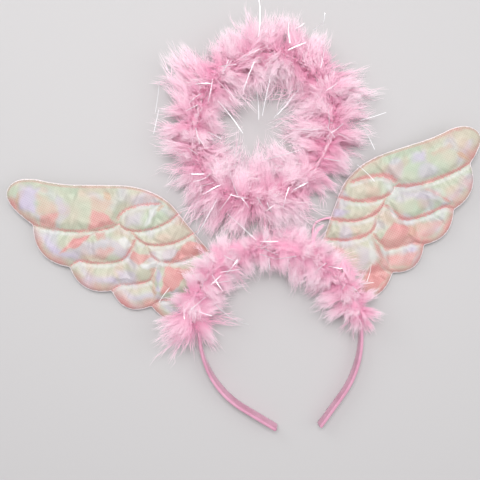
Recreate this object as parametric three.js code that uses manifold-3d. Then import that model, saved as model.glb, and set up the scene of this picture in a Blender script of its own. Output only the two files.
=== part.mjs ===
// A halo headband: a satin-wrapped hair band that carries two padded wings and a wire halo, trimmed with
// marabou boa along the crown and round the halo.
// It lies on its back as it would be put down on a table. Units are millimetres. +X is to the right, +Y runs
// from the band's open ends to the halo, and +Z points up from the surface, which is z = 0.
// While it is being made, x = 0 and y = 0 are the centre of the band's crown arc. The last step moves the
// whole assembly so that its origin is the centre of its footprint.
import * as THREE from "three";
import { mergeVertices } from "three/addons/utils/BufferGeometryUtils.js";
import Module from "manifold-3d";

// Hair band: a flat strip, wrapped in satin, that lies on its back edge
const bandOuterWidth = 123;
const bandThickness = 2.4;
const bandWidth = 10;
const bandCornerCut = 0.6;
const crownSegments = 31; // odd, so that one flat facet sits at the middle of the crown
const legBendSegments = 7;
const legs = {
  left: { bendRadius: 68, sweep: 49, straight: 29 },
  right: { bendRadius: 76, sweep: 46, straight: 28 },
};

// Wings: two layers of cloth with wadding between them, quilted along the feather lines
const wingReach = 121; // from the band's widest point out to the wing tip
const wingRise = 127.5; // from the wing's lowest corner to its highest point
const wingPadding = 6.2; // full thickness in the middle of a feather
const wingStitchThickness = 2.4; // where a stitch line pulls the layers together
const wingRimThickness = 1.4; // at the sewn edge
const featherRoll = 7; // how far from a stitch line the wadding reaches its full height
const rimRoll = 6; // how far from the sewn edge it does the same
const wingGap = 0.2; // between the lowest point of the wing's back and the surface
const wingGrid = 6; // spacing of the points that the quilting is worked out on
const wings = {
  left: { side: -1, seat: 18, reachShare: 1, drawIn: 0, tipLift: 7 },
  right: { side: 1, seat: 11.5, reachShare: 0.975, drawIn: 0.12, tipLift: 11 },
};

// Halo: a wire hoop on a stem, whose foot lies along the outside of the crown
const haloLongRadius = 56;
const haloShortRadius = 49.5;
const haloTurn = 48; // from +X to the hoop's long axis, in degrees
const haloStemLength = 38;
const haloLean = 8.7; // to the right, in degrees
const haloHeight = 8; // of the wire above the surface
const wireRadius = 1.1;
const wireFootSweep = 26; // how far the foot runs along the crown, in degrees

// Stay: a covered wire that comes out of the crown trim and goes into the right wing's edge
const stayRadius = 0.9;
const stayFootAngle = 50; // of its foot on the crown, in degrees from +X

// Marabou boa: a dense downy core, flattened by its own weight, with tufts that stand out of it
const haloCore = { halfWidth: 17, halfHeight: 12.5 };
const haloPile = 28; // from the cord to the tip of the longest tuft
const haloStations = 17;
const crownCore = { halfWidth: 14, halfHeight: 9.5 };
const crownCordOffset = 5; // of the boa's cord, outside the band's outer face
const crownCordHeight = 12;
const crownPile = 26;
const crownStations = 11;
const crownTrimStart = 165; // the trim's two ends, in degrees round the crown from +X
const crownTrimEnd = 4;
const tuftRadius = 8;
const tuftTipRadius = 1.2;

const clearance = 0.3; // between pieces that touch
const coreSides = 9;
const wireSides = 6;
const tuftSides = 4;

// The wing's outline and stitch lines. out is a share of wingReach from the band's widest point, and up a
// share of wingRise from the wing's seat. bow is how far the edge to the next corner bulges, as a share of
// the straight distance between them.
const scallopCorners = [
  { out: -0.095, up: -0.039, bow: 0 },
  { out: 0.004, up: 0.005, bow: 0.17 },
  { out: 0.248, up: 0.141, bow: 0.245 },
  { out: 0.474, up: 0.271, bow: 0.21 },
  { out: 0.702, up: 0.451, bow: 0.215 },
  { out: 0.876, up: 0.729, bow: 0 },
];
const tipAndLeadingEdge = [
  { out: 0.876, up: 0.729 },
  { out: 0.934, up: 0.792 },
  { out: 0.979, up: 0.855 },
  { out: 1.0, up: 0.918 },
  { out: 0.975, up: 0.973 },
  { out: 0.905, up: 1.0 },
  { out: 0.814, up: 0.988 },
  { out: 0.731, up: 0.957 },
  { out: 0.607, up: 0.922 },
  { out: 0.401, up: 0.886 },
  { out: 0.252, up: 0.855 },
  { out: 0.128, up: 0.8 },
  { out: 0.029, up: 0.718 },
  { out: -0.045, up: 0.596 },
  { out: -0.128, up: 0.455 },
  { out: -0.211, up: 0.329 },
  { out: -0.285, up: 0.212 },
];
const stitchLines = {
  underFirstFeather: [
    { out: 0.876, up: 0.729 },
    { out: 0.798, up: 0.694 },
    { out: 0.715, up: 0.667 },
    { out: 0.616, up: 0.643 },
    { out: 0.5, up: 0.63 },
    { out: 0.417, up: 0.631 },
    { out: 0.355, up: 0.647 },
  ],
  underSecondFeather: [
    { out: 0.702, up: 0.451 },
    { out: 0.64, up: 0.471 },
    { out: 0.566, up: 0.447 },
    { out: 0.475, up: 0.431 },
    { out: 0.401, up: 0.429 },
    { out: 0.347, up: 0.447 },
    { out: 0.306, up: 0.49 },
    { out: 0.273, up: 0.537 },
  ],
  underThirdFeather: [
    { out: 0.474, up: 0.271 },
    { out: 0.417, up: 0.29 },
    { out: 0.351, up: 0.285 },
    { out: 0.285, up: 0.281 },
    { out: 0.231, up: 0.289 },
    { out: 0.194, up: 0.329 },
    { out: 0.165, up: 0.38 },
  ],
  underFourthFeather: [
    { out: 0.248, up: 0.141 },
    { out: 0.202, up: 0.158 },
    { out: 0.12, up: 0.155 },
    { out: 0.037, up: 0.165 },
  ],
  aroundFirstCovert: [
    { out: 0.087, up: 0.718 },
    { out: 0.169, up: 0.729 },
    { out: 0.252, up: 0.728 },
    { out: 0.318, up: 0.71 },
    { out: 0.355, up: 0.671 },
    { out: 0.347, up: 0.627 },
    { out: 0.302, up: 0.596 },
    { out: 0.219, up: 0.58 },
    { out: 0.12, up: 0.588 },
    { out: 0.037, up: 0.614 },
    { out: -0.029, up: 0.651 },
  ],
  underSecondCovert: [
    { out: 0.293, up: 0.592 },
    { out: 0.264, up: 0.541 },
    { out: 0.215, up: 0.5 },
    { out: 0.136, up: 0.48 },
    { out: 0.054, up: 0.478 },
    { out: -0.029, up: 0.494 },
    { out: -0.103, up: 0.525 },
  ],
  underThirdCovert: [
    { out: 0.215, up: 0.5 },
    { out: 0.202, up: 0.439 },
    { out: 0.157, up: 0.392 },
    { out: 0.079, up: 0.37 },
    { out: -0.012, up: 0.371 },
    { out: -0.095, up: 0.388 },
    { out: -0.178, up: 0.408 },
  ],
};

// Folds that handling has left across each wing. width and rise are shares of wingPadding.
const folds = {
  left: [
    { from: { out: 0.66, up: 0.66 }, to: { out: 0.5, up: 0.98 }, width: 1.1, rise: 0.3 },
    { from: { out: 0.72, up: 0.55 }, to: { out: 0.5, up: 0.64 }, width: 0.9, rise: 0.3 },
    { from: { out: 0.18, up: 0.62 }, to: { out: 0.08, up: 0.76 }, width: 0.6, rise: 0.25 },
    { from: { out: 0.3, up: 0.38 }, to: { out: 0.06, up: 0.4 }, width: 0.7, rise: 0.3 },
    { from: { out: 0.22, up: 0.16 }, to: { out: 0.13, up: 0.38 }, width: 0.7, rise: 0.25 },
  ],
  right: [
    { from: { out: 0.7, up: 0.46 }, to: { out: 0.5, up: 0.6 }, width: 1, rise: 0.3 },
    { from: { out: 0.92, up: 0.76 }, to: { out: 0.84, up: 0.86 }, width: 0.9, rise: 0.25 },
    { from: { out: 0.44, up: 0.3 }, to: { out: 0.34, up: 0.42 }, width: 0.9, rise: 0.3 },
    { from: { out: 0.23, up: 0.16 }, to: { out: 0.12, up: 0.36 }, width: 0.8, rise: 0.3 },
  ],
};

// Tufts at each station of a boa. roll is the angle round the cord, from straight outward (0) through up
// (90) to inward (180). reach is a share of the pile, and droop a share of the tuft's length that its tip
// hangs by.
const haloTufts = [
  { roll: 14, reach: 1, droop: 0.1 },
  { roll: 74, reach: 0.74, droop: 0 },
  { roll: 164, reach: 0.86, droop: 0.1 },
];
const crownTufts = [
  { roll: 24, reach: 0.85, droop: 0.1 },
  { roll: 88, reach: 0.62, droop: 0 },
  { roll: 155, reach: 1.05, droop: 0.1 },
];

// Longer tufts that splay past the trim's two ends. swing is the angle in the plane of the band from
// straight on along it, positive towards the outside, and reach a share of the pile.
const endTufts = {
  left: [
    { swing: 76, reach: 1.4 },
    { swing: 48, reach: 1.25 },
    { swing: 16, reach: 0.9 },
    { swing: -34, reach: 1.05 },
    { swing: -66, reach: 1.1 },
  ],
  right: [
    { swing: 66, reach: 0.75 },
    { swing: 20, reach: 0.9 },
    { swing: -22, reach: 0.95 },
    { swing: -64, reach: 1.15 },
  ],
};

// The stay's bend past its foot. along is a share of the way from the foot to the wing, and off a share of
// the same distance to the left of it.
const stayBends = [
  { along: 0.2, off: 0.26 },
  { along: 0.5, off: 0.4 },
  { along: 0.76, off: 0.4 },
  { along: 0.96, off: 0.14 },
];
const stayWingPoint = { out: -0.045, up: 0.52 }; // where it enters the wing's edge

const wasm = await Module();
wasm.setup();

const radians = THREE.MathUtils.degToRad;
const up = new THREE.Vector3(0, 0, 1);
const bandOuterRadius = bandOuterWidth / 2;
const bandMidRadius = bandOuterRadius - bandThickness / 2;

// A closed geometry as a solid that can be cut and joined
function solidOf(geometry) {
  const bare = new THREE.BufferGeometry();
  bare.setAttribute("position", geometry.getAttribute("position"));
  bare.setIndex(geometry.index);
  const merged = mergeVertices(bare);
  return new wasm.Manifold(
    new wasm.Mesh({
      numProp: 3,
      vertProperties: merged.attributes.position.array,
      triVerts: new Uint32Array(merged.index.array),
    }),
  );
}

function geometryOf(solid) {
  const { vertProperties, triVerts } = solid.getMesh();
  const geometry = new THREE.BufferGeometry();
  geometry.setAttribute("position", new THREE.BufferAttribute(vertProperties, 3));
  geometry.setIndex(new THREE.BufferAttribute(triVerts, 1));
  geometry.computeVertexNormals();
  return geometry;
}

// The biggest body of a solid, without the crumbs that a cut leaves behind
function mainBody(solid) {
  return solid.decompose().reduce((a, b) => (a.volume() > b.volume() ? a : b));
}

// A skin through rings of points, which run anticlockwise seen from the end of the loft
function loft(rings, closed = false) {
  const sides = rings[0].length;
  const faces = [];
  const spans = closed ? rings.length : rings.length - 1;
  for (let i = 0; i < spans; i += 1) {
    const here = i * sides;
    const next = ((i + 1) % rings.length) * sides;
    for (let j = 0; j < sides; j += 1) {
      const k = (j + 1) % sides;
      faces.push(here + j, here + k, next + k, here + j, next + k, next + j);
    }
  }
  if (!closed) {
    const last = spans * sides;
    for (let j = 1; j < sides - 1; j += 1) {
      faces.push(0, j + 1, j, last, last + j, last + j + 1);
    }
  }
  const geometry = new THREE.BufferGeometry().setFromPoints(rings.flat());
  geometry.setIndex(faces);
  return geometry;
}

// Points of a path with the level direction that lies to the left of it
function framesAlong(points, closed = false) {
  const count = points.length;
  return points.map((at, i) => {
    const before = closed ? points[(i + count - 1) % count] : points[Math.max(i - 1, 0)];
    const after = closed ? points[(i + 1) % count] : points[Math.min(i + 1, count - 1)];
    const along = after.clone().sub(before).setZ(0).normalize();
    return { at, along, out: new THREE.Vector3(-along.y, along.x, 0) };
  });
}

function sweep(frames, profile, closed = false) {
  const rings = frames.map(({ at, out }) =>
    profile.map((p) => at.clone().addScaledVector(out, p.x).addScaledVector(up, p.y)),
  );
  return solidOf(loft(rings, closed));
}

function roundProfile(radius, sides) {
  return ovalProfile({ halfWidth: radius, halfHeight: radius }, sides);
}

function ovalProfile({ halfWidth, halfHeight }, sides) {
  return Array.from({ length: sides }, (_, i) => {
    const turn = (2 * Math.PI * (i + 0.5)) / sides;
    return new THREE.Vector2(halfWidth * Math.cos(turn), halfHeight * Math.sin(turn));
  });
}

// A point on a circle round the band's centre, at a height
function roundCrown(radius, degrees, z) {
  return new THREE.Vector3(
    radius * Math.cos(radians(degrees)),
    radius * Math.sin(radians(degrees)),
    z,
  );
}

// Hair band

function legPoints({ bendRadius, sweep: bend, straight }, side) {
  const centre = bandMidRadius - bendRadius;
  const points = [];
  for (let i = 1; i <= legBendSegments; i += 1) {
    const a = radians((bend * i) / legBendSegments);
    points.push(
      new THREE.Vector3(side * (centre + bendRadius * Math.cos(a)), -bendRadius * Math.sin(a), 0),
    );
  }
  const heading = new THREE.Vector3(-side * Math.sin(radians(bend)), -Math.cos(radians(bend)), 0);
  points.push(points.at(-1).clone().addScaledVector(heading, straight));
  return points;
}

function bandSolid(grow = 0) {
  const crown = [];
  for (let i = 0; i <= crownSegments; i += 1) {
    crown.push(roundCrown(bandMidRadius, 180 - (180 * i) / crownSegments, 0));
  }
  const path = [...legPoints(legs.left, -1).reverse(), ...crown, ...legPoints(legs.right, 1)];
  const half = bandThickness / 2 + grow;
  const top = bandWidth + grow;
  const cut = bandCornerCut;
  const profile = [
    new THREE.Vector2(-half + cut, -grow),
    new THREE.Vector2(half - cut, -grow),
    new THREE.Vector2(half, cut - grow),
    new THREE.Vector2(half, top - cut),
    new THREE.Vector2(half - cut, top),
    new THREE.Vector2(-half + cut, top),
    new THREE.Vector2(-half, top - cut),
    new THREE.Vector2(-half, cut - grow),
  ];
  return sweep(framesAlong(path), profile);
}

// Wings

// A row of the wing's tables as a point in the plane of the band
function wingPoint(row, wing) {
  const reachOut = wingReach * wing.reachShare;
  const place = ({ out, up: rise }) =>
    new THREE.Vector2(bandOuterRadius + out * reachOut, wing.seat + rise * wingRise);
  const pivot = place(scallopCorners[2]);
  const point = place(row);
  const reach = pivot.distanceTo(place({ out: 1, up: 1 }));
  const share = pivot.distanceTo(point) / reach;
  point.sub(pivot).multiplyScalar(1 - wing.drawIn * share * share).add(pivot);
  return new THREE.Vector2(wing.side * point.x, point.y);
}

function wingOutline(wing, grow = 0) {
  const edge = [];
  const arcPoints = 6;
  const cornerPoints = scallopCorners.map((row) => wingPoint(row, wing));
  for (let i = 0; i < cornerPoints.length - 1; i += 1) {
    const from = cornerPoints[i];
    const step = cornerPoints[i + 1].clone().sub(from);
    const outward = new THREE.Vector2(step.y, -step.x).multiplyScalar(wing.side);
    const pieces = scallopCorners[i].bow ? arcPoints : 1;
    for (let j = 0; j < pieces; j += 1) {
      const t = j / pieces;
      const bulge = 4 * scallopCorners[i].bow * t * (1 - t);
      edge.push(from.clone().addScaledVector(step, t).addScaledVector(outward, bulge));
    }
  }
  const spline = new THREE.SplineCurve(tipAndLeadingEdge.map((row) => wingPoint(row, wing)));
  edge.push(...spline.getPoints(2 * (tipAndLeadingEdge.length - 1)));
  if (!grow) return edge;
  return edge.map((point, i) => {
    const before = edge[(i + edge.length - 1) % edge.length];
    const after = edge[(i + 1) % edge.length];
    const along = after.clone().sub(before).normalize();
    return point.clone().add(new THREE.Vector2(along.y, -along.x).multiplyScalar(wing.side * grow));
  });
}

// The nearest point to p on a chain of points, and how far away it is
function nearestOn(chain, p, closed = false) {
  let best = { distance: Infinity, point: p };
  const spans = closed ? chain.length : chain.length - 1;
  for (let i = 0; i < spans; i += 1) {
    const from = chain[i];
    const step = chain[(i + 1) % chain.length].clone().sub(from);
    const share = p.clone().sub(from).dot(step) / step.lengthSq();
    const point = from.clone().addScaledVector(step, THREE.MathUtils.clamp(share, 0, 1));
    const distance = point.distanceTo(p);
    if (distance < best.distance) best = { distance, point };
  }
  return best;
}

// From 0 at a seam to 1 where the wadding is at its full height, round like the side of a pillow
function pillow(distance, roll) {
  const away = 1 - Math.min(distance / roll, 1);
  return Math.sqrt(1 - away * away);
}

// What the quilting of a wing is worked out from
function wingShape(wing, wingFolds) {
  const root = wingPoint({ out: 0, up: 0.3 }, wing);
  return {
    root,
    span: root.distanceTo(wingPoint({ out: 1, up: 1 }, wing)),
    tipLift: wing.tipLift,
    outline: wingOutline(wing),
    stitches: Object.values(stitchLines).map((line) =>
      new THREE.SplineCurve(line.map((row) => wingPoint(row, wing))).getPoints(3 * line.length),
    ),
    creases: wingFolds.map(({ from, to, width, rise }) => ({
      chain: [wingPoint(from, wing), wingPoint(to, wing)],
      width: width * wingPadding,
      rise: rise * wingPadding,
    })),
  };
}

// The underside and the top of a wing at p. A point close to a stitch line is moved on to it.
function quiltAt(p, { root, span, tipLift, outline, stitches, creases }) {
  const stitch = stitches
    .map((line) => nearestOn(line, p))
    .reduce((a, b) => (a.distance < b.distance ? a : b));
  const onStitch = stitch.distance < wingGrid / 2;
  if (onStitch) p.lerp(stitch.point, 0.9);
  const fill = onStitch ? 0 : pillow(stitch.distance, featherRoll);
  const quilted = THREE.MathUtils.lerp(wingStitchThickness, wingPadding, fill);
  const rim = pillow(nearestOn(outline, p, true).distance, rimRoll);
  const thickness = THREE.MathUtils.lerp(wingRimThickness, quilted, rim);
  let middle = wingGap + wingPadding / 2 + tipLift * (p.distanceTo(root) / span) ** 2;
  for (const { chain, width, rise } of creases) {
    const away = nearestOn(chain, p).distance / width;
    middle += rise * Math.exp(-away * away);
  }
  return { below: middle - thickness / 2, above: middle + thickness / 2 };
}

// The wing as two quilted skins on a grid of points, trimmed to its outline and to the band
function wingSolid(wing, wingFolds, grow = 0) {
  const shape = wingShape(wing, wingFolds);
  const box = new THREE.Box2().setFromPoints(shape.outline).expandByScalar(wingGrid);
  const size = box.getSize(new THREE.Vector2());
  const columns = Math.ceil(size.x / wingGrid);
  const rows = Math.ceil(size.y / wingGrid);
  const lower = [];
  const upper = [];
  for (let j = 0; j <= rows; j += 1) {
    for (let i = 0; i <= columns; i += 1) {
      const step = new THREE.Vector2(i / columns, j / rows);
      const p = box.min.clone().add(step.multiply(size));
      const { below, above } = quiltAt(p, shape);
      lower.push(new THREE.Vector3(p.x, p.y, below - grow));
      upper.push(new THREE.Vector3(p.x, p.y, above + grow));
    }
  }
  const slab = quiltedSlab(lower, upper, columns, rows);
  const rootSeat = crownDisc(bandOuterRadius + clearance - grow, bandOuterWidth);
  return slab.intersect(outlinePrism(wingOutline(wing, grow), wing)).subtract(rootSeat);
}

// A closed slab between two grids of points
function quiltedSlab(lower, upper, columns, rows) {
  const across = columns + 1;
  const above = lower.length;
  const faces = [];
  for (let j = 0; j < rows; j += 1) {
    for (let i = 0; i < columns; i += 1) {
      const a = j * across + i;
      const [b, c, d] = [a + 1, a + across + 1, a + across];
      faces.push(a, c, b, a, d, c);
      faces.push(above + a, above + b, above + c, above + a, above + c, above + d);
    }
  }
  const wall = (a, b) => faces.push(a, b, above + b, a, above + b, above + a);
  for (let i = 0; i < columns; i += 1) {
    wall(i, i + 1);
    wall(rows * across + i + 1, rows * across + i);
  }
  for (let j = 0; j < rows; j += 1) {
    wall((j + 1) * across, j * across);
    wall(j * across + columns, (j + 1) * across + columns);
  }
  const geometry = new THREE.BufferGeometry().setFromPoints([...lower, ...upper]);
  geometry.setIndex(faces);
  return solidOf(geometry);
}

function outlinePrism(outline, wing) {
  const reach = 2 * (wing.tipLift + 4 * wingPadding);
  const prism = new THREE.ExtrudeGeometry(new THREE.Shape(outline), {
    depth: 2 * reach,
    bevelEnabled: false,
  });
  prism.translate(0, 0, -reach);
  return solidOf(prism);
}

// The round of the crown as a disc: a wing's root is trimmed to it, and so is the boa, which keeps the
// head's place clear up to the band's front edge
function crownDisc(radius, top) {
  const depth = 4 * bandOuterRadius;
  const disc = new THREE.CylinderGeometry(radius, radius, depth, 4 * crownSegments);
  disc.rotateX(Math.PI / 2);
  disc.translate(0, 0, top - depth / 2);
  return solidOf(disc);
}

// Halo wire and stay

const footRadius = bandOuterRadius + clearance + wireRadius;
const stemFoot = roundCrown(footRadius, 90, bandWidth / 2);
const leanDirection = new THREE.Vector3(Math.sin(radians(haloLean)), Math.cos(radians(haloLean)), 0);

function hoopRadius(degrees) {
  const a = radians(degrees - haloTurn);
  return (
    (haloLongRadius * haloShortRadius) /
    Math.hypot(haloShortRadius * Math.cos(a), haloLongRadius * Math.sin(a))
  );
}

const stemMeetsHoop = -90 - haloLean; // direction from the hoop's centre to the crown, in degrees
const haloCentre = stemFoot
  .clone()
  .addScaledVector(leanDirection, haloStemLength + hoopRadius(stemMeetsHoop))
  .setZ(haloHeight);

function hoopFrames(count) {
  const points = [];
  for (let i = 0; i < count; i += 1) {
    const degrees = stemMeetsHoop - (360 * i) / count;
    points.push(haloCentre.clone().add(roundCrown(hoopRadius(degrees), degrees, 0)));
  }
  return framesAlong(points, true);
}

function haloWireSolid(grow = 0) {
  const profile = roundProfile(wireRadius + grow, wireSides);
  const hoop = sweep(hoopFrames(2 * haloStations), profile, true);
  const foot = [];
  const footSegments = 5;
  for (let i = footSegments; i > 0; i -= 1) {
    const turn = (wireFootSweep * i) / footSegments;
    foot.push(roundCrown(footRadius, 90 + turn, stemFoot.z));
  }
  const bend = stemFoot.clone().addScaledVector(leanDirection, 4 * wireRadius);
  const hoopBottom = hoopFrames(2 * haloStations)[0].at;
  const stem = new THREE.CatmullRomCurve3([...foot, stemFoot, bend, hoopBottom]);
  const stemSegments = 20;
  return hoop.add(sweep(framesAlong(stem.getPoints(stemSegments)), profile));
}

function staySolid(grow = 0) {
  const height = wingGap + wingPadding / 2;
  const foot = roundCrown(bandOuterRadius + clearance + stayRadius, stayFootAngle, height);
  const end = wingPoint(stayWingPoint, wings.right);
  const reach = new THREE.Vector3(end.x - foot.x, end.y - foot.y, 0);
  const left = new THREE.Vector3(-reach.y, reach.x, 0);
  const bends = stayBends.map(({ along, off }) =>
    foot.clone().addScaledVector(reach, along).addScaledVector(left, off),
  );
  const curve = new THREE.CatmullRomCurve3([foot, ...bends, foot.clone().add(reach)]);
  const staySegments = 14;
  return sweep(framesAlong(curve.getPoints(staySegments)), roundProfile(stayRadius + grow, wireSides));
}

// Marabou boa

// A steady scatter between -1 and 1, so that no two tufts stand alike
function scatter(seed) {
  const whole = Math.sin(seed * 12.9898 + 4.1414) * 43758.5453;
  return 2 * (whole - Math.floor(whole)) - 1;
}

// One tapered tuft from its root along a direction, with its tip hanging by droop
function tuft(root, direction, length, droop, grow = 0) {
  const side = new THREE.Vector3().crossVectors(up, direction).normalize();
  const over = new THREE.Vector3().crossVectors(direction, side);
  const stages = [
    { share: 0, radius: tuftRadius },
    { share: 0.6, radius: 0.8 * tuftRadius },
    { share: 1, radius: tuftTipRadius },
  ];
  const rings = stages.map(({ share, radius }) => {
    const centre = root
      .clone()
      .addScaledVector(direction, share * (length + grow))
      .addScaledVector(up, -droop * length * share * share);
    return roundProfile(radius + grow, tuftSides).map((p) =>
      centre.clone().addScaledVector(side, p.x).addScaledVector(over, p.y),
    );
  });
  return solidOf(loft(rings));
}

// A row of tufts round the cord at each station
function boaTufts(frames, table, pile, grow = 0) {
  const tufts = [];
  const rollScatter = 12;
  const leanScatter = 0.35;
  const reachScatter = 0.1;
  frames.forEach(({ at, along, out }, i) => {
    table.forEach((row, k) => {
      const seed = i * table.length + k;
      const roll = radians(row.roll + rollScatter * scatter(seed));
      const direction = out
        .clone()
        .multiplyScalar(Math.cos(roll))
        .addScaledVector(up, Math.abs(Math.sin(roll)))
        .addScaledVector(along, leanScatter * scatter(seed + 0.5))
        .normalize();
      const length = pile * row.reach * (1 - reachScatter + reachScatter * scatter(seed + 0.25));
      tufts.push(tuft(at, direction, length, row.droop, grow));
    });
  });
  return tufts;
}

function splayedTufts(frame, heading, table, grow = 0) {
  const rise = 0.22;
  return table.map(({ swing, reach }) => {
    const direction = heading
      .clone()
      .multiplyScalar(Math.cos(radians(swing)))
      .addScaledVector(frame.out, Math.sin(radians(swing)))
      .addScaledVector(up, rise)
      .normalize();
    return tuft(frame.at, direction, crownPile * reach, rise, grow);
  });
}

function belowSurface() {
  const size = 8 * bandOuterWidth;
  const block = new THREE.BoxGeometry(size, size, size);
  block.translate(0, 0, -size / 2);
  return solidOf(block);
}

function haloPileSolid() {
  const frames = hoopFrames(2 * haloStations);
  const core = sweep(frames, ovalProfile(haloCore, coreSides), true);
  const stations = frames.filter((_, i) => i % 2 === 0);
  const tufts = boaTufts(stations, haloTufts, haloPile);
  return wasm.Manifold.union([core, ...tufts]);
}

// The crown's boa before its neighbours are cut from it, and larger by grow on every side
function crownPileSolid(grow = 0) {
  const points = [];
  const steps = 2 * crownStations;
  for (let i = 0; i <= steps; i += 1) {
    const degrees = crownTrimStart + ((crownTrimEnd - crownTrimStart) * i) / steps;
    points.push(roundCrown(bandOuterRadius + crownCordOffset, degrees, crownCordHeight));
  }
  const frames = framesAlong(points);
  const { halfWidth, halfHeight } = crownCore;
  const oval = { halfWidth: halfWidth + grow, halfHeight: halfHeight + grow };
  const core = sweep(frames, ovalProfile(oval, coreSides));
  const stations = frames.filter((_, i) => i % 2 === 1);
  const [first, last] = [frames[0], frames.at(-1)];
  return wasm.Manifold.union([
    core,
    ...boaTufts(stations, crownTufts, crownPile, grow),
    ...splayedTufts(first, first.along.clone().negate(), endTufts.left, grow),
    ...splayedTufts(last, last.along, endTufts.right, grow),
  ]);
}

// What is left of a solid, beside its neighbours
function cutBy(solid, neighbours) {
  return mainBody(neighbours.reduce((left, piece) => left.subtract(piece), solid));
}

// Assembly

const satin = new THREE.MeshStandardMaterial({ color: 0xe796b6, roughness: 0.42 });
const pearlCloth = new THREE.MeshStandardMaterial({ color: 0xdfe3cd, roughness: 0.32, metalness: 0.1 });
const coveredWire = new THREE.MeshStandardMaterial({ color: 0xf090b4, roughness: 0.5, metalness: 0.2 });
const marabou = new THREE.MeshStandardMaterial({ color: 0xf7a8c6, roughness: 0.95 });

function piece(name, solid, material) {
  const mesh = new THREE.Mesh(geometryOf(solid), material);
  mesh.name = name;
  return mesh;
}

const surface = belowSurface();
const leftWing = mainBody(wingSolid(wings.left, folds.left).subtract(surface));
const rightWing = mainBody(wingSolid(wings.right, folds.right).subtract(surface));
const leftWingSpace = wingSolid(wings.left, folds.left, clearance);
const rightWingSpace = wingSolid(wings.right, folds.right, clearance);
const bandSpace = bandSolid(clearance);
const haloWire = haloWireSolid().subtract(bandSpace);
const stay = mainBody(staySolid().subtract(bandSpace).subtract(rightWingSpace));
const haloTrim = cutBy(haloPileSolid(), [
  haloWireSolid(clearance),
  leftWingSpace,
  rightWingSpace,
  crownPileSolid(2 * clearance), // twice, because a four-sided lock grows less across its faces
  surface,
]);
const crownTrim = cutBy(crownPileSolid(), [
  haloWireSolid(clearance),
  staySolid(clearance),
  leftWingSpace,
  rightWingSpace,
  crownDisc(bandOuterRadius + clearance, bandWidth + clearance),
  surface,
]);

const headband = new THREE.Group();
headband.add(
  piece("hair_band", bandSolid(), satin),
  piece("wing_left", leftWing, pearlCloth),
  piece("wing_right", rightWing, pearlCloth),
  piece("wing_stay", stay, coveredWire),
  piece("halo_wire", haloWire, coveredWire),
  piece("halo_trim", haloTrim, marabou),
  piece("crown_trim", crownTrim, marabou),
);

// The origin goes to the centre of the footprint, on the surface
const bounds = new THREE.Box3().setFromObject(headband);
const centre = bounds.getCenter(new THREE.Vector3());
headband.position.set(-centre.x, -centre.y, -bounds.min.z);

export default headband;
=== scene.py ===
import math

import bmesh
import bpy
import numpy as np
from mathutils import Matrix, Vector, geometry, noise


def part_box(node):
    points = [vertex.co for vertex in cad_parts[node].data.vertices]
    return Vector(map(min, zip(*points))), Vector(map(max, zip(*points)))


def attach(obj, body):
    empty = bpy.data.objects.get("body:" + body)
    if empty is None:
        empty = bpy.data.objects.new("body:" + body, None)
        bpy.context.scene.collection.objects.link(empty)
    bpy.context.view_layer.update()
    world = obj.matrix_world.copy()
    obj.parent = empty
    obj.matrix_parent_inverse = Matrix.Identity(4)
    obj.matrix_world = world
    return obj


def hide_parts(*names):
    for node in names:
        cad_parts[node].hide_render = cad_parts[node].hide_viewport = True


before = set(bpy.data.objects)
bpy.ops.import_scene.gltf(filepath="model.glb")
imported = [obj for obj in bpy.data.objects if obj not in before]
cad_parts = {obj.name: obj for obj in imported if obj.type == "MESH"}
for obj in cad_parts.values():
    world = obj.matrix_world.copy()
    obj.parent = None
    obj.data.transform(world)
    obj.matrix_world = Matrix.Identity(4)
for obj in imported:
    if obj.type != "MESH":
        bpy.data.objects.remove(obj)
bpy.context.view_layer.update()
mm = 0.001
print("frame loaded")


# Places that everything else is worked out from

bandLow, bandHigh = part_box("hair_band")
crownRadius = (bandHigh.x - bandLow.x) / 2
crownCentre = Vector(((bandLow.x + bandHigh.x) / 2, bandHigh.y - crownRadius, 0))
bandWidth = bandHigh.z
wireGap = 0.3  # between a wire's foot and the band, in millimetres


def fromCrown(x, y, z=0.0):
    # millimetres from the centre of the crown's arc
    return crownCentre + Vector((x, y, z)) * mm


# Camera, floor and light

view = {
    "distance": 520,  # from the lens to the middle of the object's height
    "fieldWidth": 360,
    "aim": (-17.6, 73.2),  # from the crown's centre
    "roll": -10,
    "middleHeight": 5,
}
floorSettings = {"size": 3.0, "drop": 0.3, "color": "BBB9B9"}
room = {"color": "F2F2F5", "strength": 0.57}
lights = [
    {"name": "overheadSoftbox", "at": (0.0, 0.26, 1.1), "size": 0.6, "watts": 9.8},
    {"name": "keySoftbox", "at": (-0.5, 0.65, 0.6), "size": 0.6, "watts": 1.9},
    {"name": "fillSoftbox", "at": (0.75, -0.1, 0.7), "size": 0.8, "watts": 1.9},
]


def linear(code):
    # an sRGB hex value as linear light
    parts = [int(code[i : i + 2], 16) / 255 for i in (0, 2, 4)]
    light = [c / 12.92 if c <= 0.04045 else ((c + 0.055) / 1.055) ** 2.4 for c in parts]
    return (*light, 1.0)


def addNode(tree, kind, settings=None, links=None):
    # settings: attributes, or input sockets by name or number; links: input socket to output socket
    made = tree.nodes.new(kind)
    for key, value in (settings or {}).items():
        if isinstance(key, int) or key in made.inputs:
            made.inputs[key].default_value = value
        else:
            setattr(made, key, value)
    for key, source in (links or {}).items():
        tree.links.new(source, made.inputs[key])
    return made


def makeCamera():
    data = bpy.data.cameras.new("tableCamera")
    data.sensor_width = 36
    data.lens = data.sensor_width * view["distance"] / view["fieldWidth"]
    camera = bpy.data.objects.new("tableCamera", data)
    bpy.context.scene.collection.objects.link(camera)
    camera.location = fromCrown(*view["aim"], view["middleHeight"] + view["distance"])
    camera.rotation_euler = (0, 0, math.radians(view["roll"]))
    bpy.context.scene.camera = camera
    bpy.context.scene.view_settings.view_transform = "Standard"


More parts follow.
